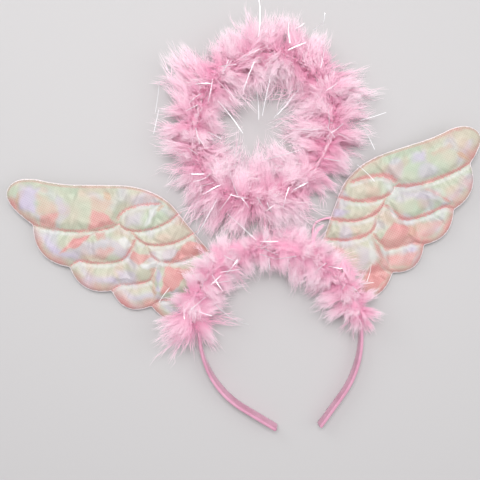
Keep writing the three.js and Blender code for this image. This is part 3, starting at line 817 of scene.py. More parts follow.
def wingOutline(side):
    corners = [wingPlace(row, side) for row in scallopCorners]
    edge = []
    for i, row in enumerate(scallopCorners[:-1]):
        start, step = corners[i], corners[i + 1] - corners[i]
        outward = np.array([step[1], -step[0]]) * side["side"]
        for t in np.arange(24) / 24:
            edge.append(start + step * t + outward * 4 * row["bow"] * t * (1 - t))
    edge.extend(smoothCurve([wingPlace(row, side) for row in leadingEdge], 10))
    edge = evenPath(edge, 0.4 * mm, True)
    # the root is hollowed to the band's outer face
    centre = np.array(crownCentre.xy)
    seat = crownRadius + 0.35 * mm
    away = np.linalg.norm(edge - centre, axis=1)
    edge = np.roll(edge, -int(np.argmax(away < seat)), axis=0)
    away = np.linalg.norm(edge - centre, axis=1)
    outside = edge[away >= seat]
    ends = [math.atan2(*(p - centre)[::-1]) for p in (outside[-1], outside[0])]
    if ends[1] - ends[0] > math.pi:
        ends[0] += 2 * math.pi
    if ends[0] - ends[1] > math.pi:
        ends[1] += 2 * math.pi
    hollow = [centre + seat * np.array([math.cos(a), math.sin(a)]) for a in np.linspace(*ends, 60)[1:-1]]
    return evenPath([*outside, *hollow], wing["spacing"] * mm, True)


def distanceTo(points, line, closed=False):
    # from each point to a line: how far, the place along it, and the nearest point on it
    start = np.asarray(line)
    stop = np.roll(start, -1, 0)
    if not closed:
        start, stop = start[:-1], stop[:-1]
    step = stop - start
    gone = np.concatenate([[0], np.cumsum(np.linalg.norm(step, axis=1))])[:-1]
    best = np.full(len(points), np.inf)
    place = np.zeros(len(points))
    nearest = np.array(points, float)
    for a, s, g in zip(start, step, gone):
        length = np.dot(s, s)
        t = np.clip(((points - a) @ s) / length, 0, 1)
        foot = a + t[:, None] * s
        far = np.linalg.norm(points - foot, axis=1)
        closer = far < best
        best[closer] = far[closer]
        place[closer] = (g + t * math.sqrt(length))[closer]
        nearest[closer] = foot[closer]
    return best, place, nearest


def insideOf(points, outline):
    inside = np.zeros(len(points), bool)
    x, y = points[:, 0], points[:, 1]
    for (ax, ay), (bx, by) in zip(outline, np.roll(outline, -1, 0)):
        crosses = (ay > y) != (by > y)
        inside ^= crosses & (x < ax + (y - ay) * (bx - ax) / (by - ay + 1e-15))
    return inside


def seamLines(side, outline):
    # the stitch lines, where they are clear of the edge and the band
    centre = np.array(crownCentre.xy)
    lines = []
    for rows in stitchLines.values():
        line = evenPath(smoothCurve([wingPlace(row, side) for row in rows], 10), wing["spacing"] * mm)
        inward = distanceTo(line, outline, True)[0] > 0.9 * mm
        kept = line[inward & (np.linalg.norm(line - centre, axis=1) > crownRadius + 1.5 * mm)]
        if len(kept) > 2:
            lines.append(kept)
    return lines


def clothPoints(side):
    # outline, stitch lines and an even field of points between them, joined into triangles
    outline = wingOutline(side)
    lines = seamLines(side, outline)
    spacing = wing["spacing"] * mm
    low, high = outline.min(0), outline.max(0)
    field = []
    for j, y in enumerate(np.arange(low[1], high[1], spacing * 0.866)):
        for x in np.arange(low[0] + (j % 2) * spacing / 2, high[0], spacing):
            field.append((x, y))
    field = np.array(field)
    free = insideOf(field, outline) & (distanceTo(field, outline, True)[0] > 0.6 * spacing)
    for line in lines:
        free &= distanceTo(field, line)[0] > 0.6 * spacing
    points = [*outline]
    edges = [(i, (i + 1) % len(outline)) for i in range(len(outline))]
    for line in lines:
        start = len(points)
        points.extend(line)
        edges.extend((start + i, start + i + 1) for i in range(len(line) - 1))
    points.extend(field[free])
    made = geometry.delaunay_2d_cdt([Vector(p) for p in points], edges, [], 1, 1e-7)
    return np.array([tuple(p) for p in made[0]]), [tuple(face) for face in made[2]], outline, lines


def wingMiddle(flat, side, name):
    # height of the wing's middle surface: it lifts towards the tip and keeps its folds
    root = wingPlace((0, 0.3), side)
    span = np.linalg.norm(wingPlace((1, 1), side) - root)
    away = np.linalg.norm(flat - root, axis=1) / span
    middle = (wing["middle"] + side["tipLift"] * away**2) * mm
    for fold in folds[name]:
        line = np.array([wingPlace(fold["from"], side), wingPlace(fold["to"], side)])
        far = distanceTo(flat, line)[0] / (fold["width"] * mm)
        middle += fold["rise"] * mm * np.exp(-1.6 * far)
    return middle


def pillow(share):
    share = np.clip(share, 0, 1)
    return np.sqrt(1 - (1 - share) ** 2)


def nearestSeam(flat, outline, lines):
    # for each point: how far the nearest stitch line is, the place along it, and how far above it the
    # point lies, from -1 for below to 1 for above
    far = np.full(len(flat), np.inf)
    place = np.zeros(len(flat))
    above = np.zeros(len(flat))
    for number, line in enumerate(lines):
        away, along, foot = distanceTo(flat, line)
        closer = away < far
        far[closer] = away[closer]
        place[closer] = along[closer] + number * 0.37
        above[closer] = ((flat - foot)[:, 1] / np.maximum(away, 1e-6))[closer]
    return far, place, above


def wingShell(side, name):
    # the two layers of cloth, joined by a turned edge
    flat, triangles, outline, lines = clothPoints(side)
    toRim = distanceTo(flat, outline, True)[0]
    toStitch = nearestSeam(flat, outline, lines)[0]
    thin = wing["stitchThickness"]
    quilted = thin + (wing["wadding"] - thin) * pillow(toStitch / mm / wing["roll"])
    rim = wing["rimThickness"]
    thick = rim + (quilted - rim) * pillow(toRim / mm / wing["rimRoll"])
    middle = wingMiddle(flat, side, name)
    top = middle + thick / 2 * mm
    bottom = middle - thick / 2 * mm
    count = len(flat)
    points = [(*p, z) for p, z in zip(flat, top)] + [(*p, z) for p, z in zip(flat, bottom)]
    faces = []
    for a, b, c in triangles:
        p, q, r = flat[a], flat[b], flat[c]
        if (q[0] - p[0]) * (r[1] - p[1]) - (q[1] - p[1]) * (r[0] - p[0]) < 0:
            b, c = c, b
        faces.append((a, b, c))
        faces.append((a + count, c + count, b + count))
    along = np.roll(outline, -1, 0) - np.roll(outline, 1, 0)
    along /= np.linalg.norm(along, axis=1)[:, None]
    outward = np.stack([along[:, 1], -along[:, 0]], 1)
    turned = np.sum(outline[:, 0] * np.roll(outline[:, 1], -1) - np.roll(outline[:, 0], -1) * outline[:, 1])
    outward *= np.sign(turned)
    first = len(points)
    around = len(outline)
    for k in range(around):
        points.append((*(outline[k] + outward[k] * 0.45 * mm), middle[k]))
    for k in range(around):
        n = (k + 1) % around
        faces.append((k, n, first + n, first + k))
        faces.append((first + k, first + n, n + count, k + count))
    held = (toRim < 0.2 * mm) | (toStitch < 0.2 * mm)
    held = np.concatenate([held, held, np.ones(around, bool)])
    return outwardFaces(meshPiece("wing_" + name + "_cloth", points, faces)), held, outline, lines


def vertexPlaces(mesh):
    places = np.empty(len(mesh.vertices) * 3)
    mesh.vertices.foreach_get("co", places)
    return places.reshape(-1, 3)


def swell(piece, held):
    # The wadding presses the layers apart between the seams, which hold them, and the spare cloth puckers.
    # It is worked out at ten times life size, where the solver is steadier.
    start = vertexPlaces(piece.data)
    piece.data.transform(Matrix.Scale(quilting["times"], 4))
    pins = piece.vertex_groups.new(name="seams")
    pins.add([int(i) for i in np.flatnonzero(held)], 1.0, "REPLACE")
    cloth = piece.modifiers.new("quilting", "CLOTH")
    cloth.settings.vertex_group_mass = "seams"
    cloth.settings.mass = quilting["mass"]
    cloth.settings.use_pressure = True
    cloth.settings.uniform_pressure_force = quilting["pressure"]
    cloth.settings.shrink_min = -quilting["ease"]
    cloth.settings.effector_weights.gravity = 0
    cloth.collision_settings.use_collision = False
    cloth.point_cache.frame_start = 1
    cloth.point_cache.frame_end = quilting["frames"]
    for number in range(1, quilting["frames"] + 1):
        bpy.context.scene.frame_set(number)
    swollen = vertexPlaces(piece.evaluated_get(bpy.context.evaluated_depsgraph_get()).data)
    piece.modifiers.remove(cloth)
    piece.vertex_groups.remove(pins)
    bpy.context.scene.frame_set(1)
    moved = swollen / quilting["times"] - start
    far = np.linalg.norm(moved, axis=1)
    print("cloth moved up to %.2f mm, on average %.2f mm" % (far.max() / mm, far.mean() / mm))
    cap = quilting["cap"] * mm
    moved *= np.where(far > cap, cap / np.maximum(far, 1e-9), 1)[:, None]
    piece.data.vertices.foreach_set("co", (start + moved).ravel())
    piece.data.update()


def finer(piece):
    # one level of smooth subdivision, kept as a plain mesh
    subdivide = piece.modifiers.new("finer", "SUBSURF")
    subdivide.levels = subdivide.render_levels = 1
    mesh = bpy.data.meshes.new_from_object(piece.evaluated_get(bpy.context.evaluated_depsgraph_get()))
    piece.modifiers.remove(subdivide)
    piece.data = mesh
    mesh.polygons.foreach_set("use_smooth", [True] * len(mesh.polygons))


def cloudAt(flat, size, seed):
    # smooth noise between -1 and 1, with blotches of about that size in millimetres
    scale = 1 / (size * mm)
    return np.array([noise.noise((x * scale, y * scale, seed * 7.3)) for x, y in flat]) * 1.6


def sawTooth(place, pitch, seed):
    # uneven gathers: a triangle wave whose pitch drifts
    drift = np.array([noise.noise((p / mm / 9, seed, 0)) for p in place])
    phase = (place / mm / pitch + 1.4 * drift) % 1
    return 1 - np.abs(2 * phase - 1)


def filmColors(flat, side, name, outline, seam):
    # how far the film has turned to each of its colours, at each point. Part of this is painted light: salmon
    # where the cloth falls away from the light is painted shade as well, and white is painted highlight.
    far, place, above = seam
    far = far / mm
    rimFar, rimPlace, rimFoot = distanceTo(flat, outline, True)
    rimAbove = (flat - rimFoot)[:, 1] / np.maximum(rimFar, 1e-6)
    rimFar = rimFar / mm
    patchy = cloudAt(flat, 11, 1 + side["side"])
    ragged = cloudAt(flat, 5, 4 + side["side"])
    seed = 3 + side["side"]
    # painted shade with the film's salmon, on the side of each feather that rolls down to a seam, towards
    # the wing's lower edge and away from the light
    width = side["band"] * (1 + 0.3 * patchy) + 0.9 * sawTooth(place, 2.3, seed)
    rolledShade = np.clip(above * 1.6, 0, 1) * smoothStep((width - far) / 2.2 + 0.5)
    # the same painted shade with salmon where the cloth rolls down to the wing's lower edge
    edgeWidth = 7 + 1.6 * sawTooth(rimPlace, 4.1, seed) + 2.4 * patchy
    rolledEdgeShade = np.clip(rimAbove * 1.5 + 0.35, 0, 1) * (1 - smoothStep(rimFar / np.maximum(edgeWidth, 1)))
    # the lilac band near the lower edge and the white just below each seam are painted highlight with the
    # film's colour, where the cloth faces the light
    tone = {
        "salmon": np.maximum(rolledShade * side["salmonShadeDepth"], rolledEdgeShade * (0.62 + 0.3 * patchy)),
        "peach": 0.35 * smoothStep(patchy * 1.4 - 0.2),
        "orange": np.zeros(len(flat)),
        "lilac": 0.55 * np.exp(-(((rimFar - 8.5) / 2.8) ** 2)) * np.clip(rimAbove + 0.3, 0, 1)
        + 0.45 * smoothStep(cloudAt(flat, 15, 5 + side["side"]) * 1.5),
        "white": 0.55 * np.clip(-above * 1.3, 0, 1) * np.exp(-(((far - 1.8) / 1.3) ** 2)),
    }
    leading = np.clip(-rimAbove * 1.6, 0, 1)
    tone["salmon"] = np.maximum(tone["salmon"], 0.45 * leading * np.exp(-(((rimFar - 1.4) / 0.7) ** 2)))
    # facets, the white ones painted highlights
    for facet in facets[name]:
        corners = np.array([wingPlace(corner, side) for corner in facet["corners"]])
        depth = distanceTo(flat, corners, True)[0] / mm * np.where(insideOf(flat, corners), 1, -1)
        shape = facet["amount"] * smoothStep(0.5 + (depth + 1.1 * ragged) / (facet["edge"] + 1))
        shape *= 0.88 + 0.25 * patchy
        for color in tone:
            tone[color] = tone[color] * (1 - shape)
        tone[facet["film"]] = np.maximum(tone[facet["film"]], shape)
    return {color: np.clip(values, 0, 1) for color, values in tone.items()}


def makeWing(name):
    side = wings[name]
    piece, held, outline, lines = wingShell(side, name)
    swell(piece, held)
    finer(piece)
    mesh = piece.data
    places = vertexPlaces(mesh)
    flat = places[:, :2].copy()
    normals = np.empty(len(mesh.vertices) * 3)
    mesh.vertices.foreach_get("normal", normals)
    upward = normals.reshape(-1, 3)[:, 2]
    seam = nearestSeam(flat, outline, lines)
    toRim = distanceTo(flat, outline, True)[0] / mm
    inner = pillow(toRim / wing["rimRoll"]) * np.sign(upward) * smoothStep(np.abs(upward) * 2)
    near = np.exp(-((seam[0] / mm / 2.8) ** 2)) * np.clip(seam[0] / mm / 0.8, 0, 1)
    gathers = wing["gather"] * near * (2 * sawTooth(seam[1], wing["gatherPitch"], 2) - 1)
    crinkle = wing["crinkle"] * (cloudAt(flat, 9, 1) + 0.6 * cloudAt(flat, 4, 2))
    places[:, 2] += (gathers + crinkle) * inner * mm
    places[:, 2] = np.maximum(places[:, 2], 0.15 * mm)
    mesh.vertices.foreach_set("co", places.ravel())
    mesh.update()
    for color, values in filmColors(flat, side, name, outline, seam).items():
        storeFloats(mesh, color, values)
    mesh.materials.append(pearlCloth())
    mesh.materials.append(spunThread("white polyester overlock thread", "EBDDDF"))
    for polygon in mesh.polygons:
        if max(toRim[v] for v in polygon.vertices) < wing["rimWidth"]:
            polygon.material_index = 1
    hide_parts("wing_" + name)
    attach(piece, "root")
    print("wing", name, "made,", len(mesh.polygons), "faces")
    makeStitches(name, side, lines)


# Stitches: short bars of thread, set on the seams by their pitch

stitching = {"length": 2.1, "pitch": 2.6, "thickness": 0.34}


def stitchTree():
    tree = bpy.data.node_groups.new("stitches along a seam", "GeometryNodeTree")
    tree.interface.new_socket("Geometry", in_out="INPUT", socket_type="NodeSocketGeometry")
    for name in ("Pitch", "Length", "Thickness"):
        tree.interface.new_socket(name, in_out="INPUT", socket_type="NodeSocketFloat")
    tree.interface.new_socket("Material", in_out="INPUT", socket_type="NodeSocketMaterial")
    tree.interface.new_socket("Geometry", in_out="OUTPUT", socket_type="NodeSocketGeometry")
    given = addNode(tree, "NodeGroupInput").outputs
    seam = addNode(tree, "GeometryNodeMeshToCurve", {}, {0: given["Geometry"]})
    places = addNode(
        tree,
        "GeometryNodeCurveToPoints",
        {"mode": "LENGTH"},
        {"Curve": seam.outputs[0], "Length": given["Pitch"]},
    )
    half = addNode(tree, "ShaderNodeMath", {"operation": "MULTIPLY", 1: 0.5}, {0: given["Thickness"]})
    bar = addNode(
        tree,
        "GeometryNodeMeshCylinder",
        {"Vertices": 6, "Side Segments": 1, "fill_type": "NGON"},
        {"Radius": half.outputs[0], "Depth": given["Length"]},
    )
    heading = addNode(
        tree, "FunctionNodeAlignRotationToVector", {"axis": "Z"}, {"Vector": places.outputs["Tangent"]}
    )
    sewn = addNode(
        tree,
        "GeometryNodeInstanceOnPoints",
        {},
        {"Points": places.outputs["Points"], "Instance": bar.outputs["Mesh"], "Rotation": heading.outputs[0]},
    )
    solid = addNode(tree, "GeometryNodeRealizeInstances", {}, {"Geometry": sewn.outputs[0]})
    dressed = addNode(
        tree, "GeometryNodeSetMaterial", {}, {"Geometry": solid.outputs[0], "Material": given["Material"]}
    )
    addNode(tree, "NodeGroupOutput", {}, {0: dressed.outputs[0]})
    return tree


def runTree(name, source, tree, settings):
    # runs a tree on an object and keeps the result as a plain mesh
    modifier = source.modifiers.new(tree.name, "NODES")
    modifier.node_group = tree
    for item in tree.interface.items_tree:
        if item.in_out == "INPUT" and item.name in settings:
            modifier[item.identifier] = settings[item.name]
    mesh = bpy.data.meshes.new_from_object(source.evaluated_get(bpy.context.evaluated_depsgraph_get()))
    mesh.name = name
    piece = bpy.data.objects.new(name, mesh)
    bpy.context.scene.collection.objects.link(piece)
    source.modifiers.remove(modifier)
    print(name, "has", len(mesh.polygons), "faces")
    return piece


stitches = stitchTree()


def makeStitches(name, side, lines):
    # the thread of the wing's seams
    points, edges = [], []
    for line in lines:
        start = len(points)
        heights = wingMiddle(line, side, name) + (wing["stitchThickness"] / 2 + 0.05) * mm
        points.extend((*p, z) for p, z in zip(line, heights))
        edges.extend((start + i, start + i + 1) for i in range(len(line) - 1))
    mesh = bpy.data.meshes.new("seamLine")
    mesh.from_pydata([tuple(p) for p in points], edges, [])
    source = bpy.data.objects.new("seamLine", mesh)
    bpy.context.scene.collection.objects.link(source)
    settings = {
        "Pitch": stitching["pitch"] * mm,
        "Length": stitching["length"] * mm,
        "Thickness": stitching["thickness"] * mm,
        "Material": spunThread("pink polyester thread", "F0B9BF"),
    }
    piece = runTree("wing_" + name + "_stitches", source, stitches, settings)
    bpy.data.objects.remove(source)
    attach(piece, "root")


for sideName in wings:
    makeWing(sideName)
makeWires()


# Marabou. A tuft is one feather tip: a fine shaft with barbs that leave it on both sides.

tuft = {
    "length": 25,
    "barbs": 14,
    "barbWidth": 0.27,  # far coarser than a real barb, so that it shows
    "shaftWidth": 0.34,
    "shapes": 4,
    "spread": 27,  # angle between shaft and barb, in degrees
}


def makeTuft(index):
    rng = np.random.default_rng(100 + index)
    points, faces, along = [], [], []
    length = tuft["length"] * mm

    def ribbon(start, direction, bend, size, width, first, last):
        side = np.cross(direction, rng.normal(size=3))
        side /= np.linalg.norm(side)
        middle = start + direction * size * 0.5
        tip = start + direction * size + bend * size
        base = len(points)
        half = side * width / 2
        points.extend([start - half, start + half, middle + half * 0.8, middle - half * 0.8, tip])
        faces.extend([(base, base + 1, base + 2, base + 3), (base + 3, base + 2, base + 4)])
        along.extend([first, first, (first + last) / 2, (first + last) / 2, last])

    sway = rng.normal(0, 0.06, 3)
    sway[2] = 0
    ribbon(np.zeros(3), np.array([0, 0, 1.0]), sway, length, tuft["shaftWidth"] * mm, 0.0, 0.9)
    for k in range(tuft["barbs"]):
        share = 0.05 + 0.8 * k / tuft["barbs"]
        around = rng.uniform(0, 2 * math.pi)
        if k % 3:
            around = (0 if k % 2 else math.pi) + rng.normal(0, 0.5)
        spread = math.radians(tuft["spread"] * rng.uniform(0.55, 1.35))
        direction = np.array(
            [math.sin(spread) * math.cos(around), math.sin(spread) * math.sin(around), math.cos(spread)]
        )
        size = length * (0.5 - 0.3 * share) * rng.uniform(0.8, 1.25)
        start = np.array([0, 0, share * length])
        # each barb bows back to the shaft, so that the tuft ends in a point
        curl = np.array([0, 0, 0.22]) - 0.62 * direction * (1, 1, 0) + rng.normal(0, 0.04, 3)
        ribbon(start, direction, curl, size, tuft["barbWidth"] * mm, share * 0.8, min(1, share + 0.45))
    piece = meshPiece("tuft%d" % index, points, faces, smooth=True)
    storeFloats(piece.data, "along", along)
    return piece


tufts = [makeTuft(index) for index in range(tuft["shapes"])]

plumeInputs = {
    "Density": 1.0,  # tufts on a square metre of the cord's skin
    "Lock Spacing": 0.006,
    "Shortest Lock": 0.8,  # shares of the pile that the skin carries
    "Longest Lock": 1.1,
    "Lock Sprawl": 0.5,
    "Flatness": 0.6,
    "Gathering": 0.8,  # how far a tuft leans to its lock's tip
    "Shortest": 0.75,  # shares of the way to the tip
    "Longest": 1.05,
    "Scatter": 0.2,
    "Breadth": 1.0,  # how much wider a tuft is than its length asks for
    "Tuft Length": 0.025,
    "Table Height": 0.0004,
    "Packed Height": 0.022,  # down above this has been pressed flatter
}


def plumeTree():
    # Sets tufts on a cord's skin. Each leans to the tip of the nearest of a few locks, so that the down
    # ends in points, and none goes through the table.
    tree = bpy.data.node_groups.new("plume on a cord", "GeometryNodeTree")
    tree.interface.new_socket("Geometry", in_out="INPUT", socket_type="NodeSocketGeometry")
    for name, value in plumeInputs.items():
        tree.interface.new_socket(name, in_out="INPUT", socket_type="NodeSocketFloat").default_value = value
    tree.interface.new_socket("Seed", in_out="INPUT", socket_type="NodeSocketInt")
    tree.interface.new_socket("Material", in_out="INPUT", socket_type="NodeSocketMaterial")
    tree.interface.new_socket("Geometry", in_out="OUTPUT", socket_type="NodeSocketGeometry")
    given = addNode(tree, "NodeGroupInput").outputs
    place = addNode(tree, "GeometryNodeInputPosition")
    pile = addNode(tree, "GeometryNodeInputNamedAttribute", {"data_type": "FLOAT", "Name": "pile"})
    flow = addNode(tree, "GeometryNodeInputNamedAttribute", {"data_type": "FLOAT_VECTOR", "Name": "flow"})
    fullness = addNode(tree, "GeometryNodeInputNamedAttribute", {"data_type": "FLOAT", "Name": "fullness"})

    def vector(operation, first, second=None, scale=None):
        links = {0: first}
        if second is not None:
            links[1] = second
        if scale is not None:
            links["Scale"] = scale
        return addNode(tree, "ShaderNodeVectorMath", {"operation": operation}, links).outputs[0]

    def anyDirection(seed):
        limits = {"data_type": "FLOAT_VECTOR", 0: (-1, -1, -1), 1: (1, 1, 1)}
        return addNode(tree, "FunctionNodeRandomValue", limits, {"Seed": seed}).outputs[0]

    def anyNumber(low, high, seed):
        links = {2: low, 3: high, "Seed": seed}
        return addNode(tree, "FunctionNodeRandomValue", {"data_type": "FLOAT"}, links).outputs[1]

    # the locks: where each one's tip is
    locks = addNode(
        tree,
        "GeometryNodeDistributePointsOnFaces",
        {"distribute_method": "POISSON", "Density Max": 1e6},
        {"Mesh": given["Geometry"], "Distance Min": given["Lock Spacing"], "Seed": given["Seed"]},
    )
    sprawl = vector("SCALE", anyDirection(given["Seed"]), scale=given["Lock Sprawl"])
    outward = vector("ADD", vector("ADD", locks.outputs["Normal"], flow.outputs[0]), sprawl)
    flattener = addNode(tree, "ShaderNodeCombineXYZ", {"X": 1.0, "Y": 1.0}, {"Z": given["Flatness"]})
    heading = vector("NORMALIZE", vector("MULTIPLY", vector("NORMALIZE", outward), flattener.outputs[0]))
    lockSize = addNode(
        tree,
        "ShaderNodeMath",
        {"operation": "MULTIPLY"},
        {0: anyNumber(given["Shortest Lock"], given["Longest Lock"], given["Seed"]), 1: pile.outputs[0]},
    )
    tip = vector("ADD", place.outputs[0], vector("SCALE", heading, scale=lockSize.outputs[0]))
    marked = addNode(
        tree,
        "GeometryNodeStoreNamedAttribute",
        {"data_type": "FLOAT_VECTOR", "domain": "POINT", "Name": "tip"},
        {"Geometry": locks.outputs["Points"], "Value": tip},
    )
    lockTip = addNode(tree, "GeometryNodeInputNamedAttribute", {"data_type": "FLOAT_VECTOR", "Name": "tip"})

    # the tufts: each takes after the lock that is nearest to its root
    crowding = addNode(
        tree, "ShaderNodeMath", {"operation": "MULTIPLY"}, {0: given["Density"], 1: fullness.outputs[0]}
    )
    points = addNode(
        tree,
        "GeometryNodeDistributePointsOnFaces",
        {"distribute_method": "RANDOM"},
        {"Mesh": given["Geometry"], "Density": crowding.outputs[0], "Seed": given["Seed"]},
    )
    nearest = addNode(tree, "GeometryNodeSampleNearest", {"domain": "POINT"}, {"Geometry": marked.outputs[0]})
    aim = addNode(
        tree,
        "GeometryNodeSampleIndex",
        {"data_type": "FLOAT_VECTOR", "domain": "POINT"},
        {"Geometry": marked.outputs[0], "Value": lockTip.outputs[0], "Index": nearest.outputs[0]},
    )
    toTip = vector("SUBTRACT", aim.outputs[0], place.outputs[0])
    reach = addNode(tree, "ShaderNodeVectorMath", {"operation": "LENGTH"}, {0: toTip}).outputs["Value"]
    own = vector("SCALE", points.outputs["Normal"], scale=reach)
    gathered = addNode(
        tree,
        "ShaderNodeMix",
        {"data_type": "VECTOR"},
        {"Factor": given["Gathering"], 4: own, 5: toTip},
    )
    loose = vector("SCALE", anyDirection(given["Seed"]), scale=given["Scatter"])
    stray = vector("ADD", vector("NORMALIZE", gathered.outputs[1]), loose)
    split = addNode(tree, "ShaderNodeSeparateXYZ", {}, {0: vector("NORMALIZE", stray)})
    level = addNode(tree, "ShaderNodeMath", {"operation": "MAXIMUM", 1: -0.22}, {0: split.outputs["Z"]})
    lying = addNode(
        tree,
        "ShaderNodeCombineXYZ",
        {},
        {"X": split.outputs["X"], "Y": split.outputs["Y"], "Z": level.outputs[0]},
    )
    aimed = addNode(tree, "FunctionNodeAlignRotationToVector", {"axis": "Z"}, {"Vector": lying.outputs[0]})
    fullTurn = {"data_type": "FLOAT", 3: 6.283}
    twist = addNode(tree, "FunctionNodeRandomValue", fullTurn, {"Seed": given["Seed"]})
    spin = addNode(tree, "ShaderNodeCombineXYZ", {}, {"Z": twist.outputs[1]})
    turned = addNode(
        tree,
        "FunctionNodeRotateRotation",
        {"rotation_space": "LOCAL"},
        {"Rotation": aimed.outputs[0], "Rotate By": spin.outputs[0]},
    )
    size = addNode(
        tree,
        "ShaderNodeMath",
        {"operation": "MULTIPLY"},
        {0: anyNumber(given["Shortest"], given["Longest"], given["Seed"]), 1: reach},
    )
    scale = addNode(
        tree, "ShaderNodeMath", {"operation": "DIVIDE"}, {0: size.outputs[0], 1: given["Tuft Length"]}
    )
    broad = addNode(
        tree, "ShaderNodeMath", {"operation": "MULTIPLY"}, {0: scale.outputs[0], 1: given["Breadth"]}
    )
    stretch = addNode(
        tree,
        "ShaderNodeCombineXYZ",
        {},
        {"X": broad.outputs[0], "Y": broad.outputs[0], "Z": scale.outputs[0]},
    )
    kinds = addNode(tree, "GeometryNodeJoinGeometry")
    for shape in tufts:
        info = addNode(tree, "GeometryNodeObjectInfo", {"Object": shape, "As Instance": True})
        tree.links.new(info.outputs["Geometry"], kinds.inputs[0])
    shade = addNode(tree, "ShaderNodeTexWhiteNoise", {"noise_dimensions": "3D"}, {"Vector": aim.outputs[0]})
    toned = addNode(
        tree,
        "GeometryNodeStoreNamedAttribute",
        {"data_type": "FLOAT", "domain": "POINT", "Name": "tone"},
        {"Geometry": points.outputs["Points"], "Value": shade.outputs["Value"]},
    )
    placed = addNode(
        tree,
        "GeometryNodeInstanceOnPoints",
        {"Pick Instance": True},
        {
            "Points": toned.outputs[0],
            "Instance": kinds.outputs[0],
            "Rotation": turned.outputs[0],
            "Scale": stretch.outputs[0],
        },
    )
    solid = addNode(tree, "GeometryNodeRealizeInstances", {}, {"Geometry": placed.outputs[0]})
    parts = addNode(tree, "ShaderNodeSeparateXYZ", {}, {0: place.outputs[0]}).outputs
    eased = addNode(
        tree, "ShaderNodeMix", {"data_type": "FLOAT", 0: 0.3}, {2: given["Packed Height"], 3: parts["Z"]}
    )
    pressed = addNode(
        tree, "ShaderNodeMath", {"operation": "MINIMUM"}, {0: parts["Z"], 1: eased.outputs[0]}
    )
    above = addNode(
        tree, "ShaderNodeMath", {"operation": "MAXIMUM"}, {0: pressed.outputs[0], 1: given["Table Height"]}
    )
    raised = addNode(
        tree, "ShaderNodeCombineXYZ", {}, {"X": parts["X"], "Y": parts["Y"], "Z": above.outputs[0]}
    )
    laid = addNode(
        tree, "GeometryNodeSetPosition", {}, {"Geometry": solid.outputs[0], "Position": raised.outputs[0]}
    )
    dressed = addNode(
        tree, "GeometryNodeSetMaterial", {}, {"Geometry": laid.outputs[0], "Material": given["Material"]}
    )
    addNode(tree, "NodeGroupOutput", {}, {0: dressed.outputs[0]})
    return tree


plume = plumeTree()
cordSides = 12
softness = {"outward": 0.36, "own": 0.22, "up": 1.4}  # weights of the three directions in a normal
atOnce = 20000  # points that are compared with a cord in one go


def cordSkin(name, path, centre, radius, closed, rows, flowAt):
    # The cord that the tufts are set on. It carries how long, how full and which way they grow: the rows say
    # that for the outside and the inside of the boa, by the direction from the centre in degrees.
    path, along = pathFrames(path, closed)[:2]
    turns = np.linspace(0, 2 * math.pi, cordSides, endpoint=False)
    section = np.stack([np.cos(turns), np.sin(turns)], 1) * radius * mm
    points, faces = sweptTube(path, lambda i, gone: section, closed)
    skin = outwardFaces(meshPiece(name, points, faces))
    period = 360 if closed else None
    rising = sorted(rows, key=lambda row: row["toward"])
    places = [row["toward"] for row in rising]

    def at(angle, column):
        return float(np.interp(angle, places, [row[column] for row in rising], period=period))

    pile, flow, fullness = [], [], []
    for i, point in enumerate(path):
        angle = math.degrees(math.atan2(point[1] - centre[1], point[0] - centre[0]))
        wander = 1 + 0.08 * noise.noise((point[0] * 60, point[1] * 60, 1))
        for turn in turns:
            inward = 0.5 - 0.5 * math.cos(turn)
            pile.append((at(angle, "outside") * (1 - inward) + at(angle, "inside") * inward) * wander * mm)
            fullness.append(at(angle, "fullOutside") * (1 - inward) + at(angle, "fullInside") * inward)
            flow.append(flowAt(angle, along[i]))
    storeFloats(skin.data, "pile", pile)
    storeFloats(skin.data, "fullness", fullness)
    lean = skin.data.attributes.new("flow", "FLOAT_VECTOR", "POINT")
    lean.data.foreach_set("vector", np.array(flow, np.float32).ravel())
    return skin


def thinToCord(skin):
    # the roots are wound on in a layer, and the cord under them is half as thick
    places = vertexPlaces(skin.data).reshape(-1, cordSides, 3)
    middle = places.mean(axis=1, keepdims=True)
    skin.data.vertices.foreach_set("co", (middle + (places - middle) * 0.5).ravel())
    skin.data.update()


def softNormals(piece, path):
    # A barb is a round fibre that light goes round, not a flat ribbon, so the down is shaded as one soft
    # body: its faces are turned up, and its normals point away from the cord and a little up.
    shape = bmesh.new()
    shape.from_mesh(piece.data)
    bmesh.ops.reverse_faces(shape, faces=[face for face in shape.faces if face.normal.z < 0])
    shape.to_mesh(piece.data)
    shape.free()
    places = vertexPlaces(piece.data)
    path = np.asarray(path)[::3]
    nearest = np.empty(len(places), int)
    for first in range(0, len(places), atOnce):
        some = places[first : first + atOnce]
        nearest[first : first + atOnce] = np.argmin(((some[:, None] - path[None]) ** 2).sum(2), axis=1)
    away = places - path[nearest]
    away /= np.maximum(np.linalg.norm(away, axis=1), 1e-6)[:, None]
    own = np.empty(len(places) * 3)
    piece.data.vertices.foreach_get("normal", own)
    own = own.reshape(-1, 3)
    soft = away * softness["outward"] + own * softness["own"] + np.array([0, 0, softness["up"]])
    soft /= np.maximum(np.linalg.norm(soft, axis=1), 1e-6)[:, None]
    piece.data.normals_split_custom_set_from_vertices([tuple(n) for n in soft])


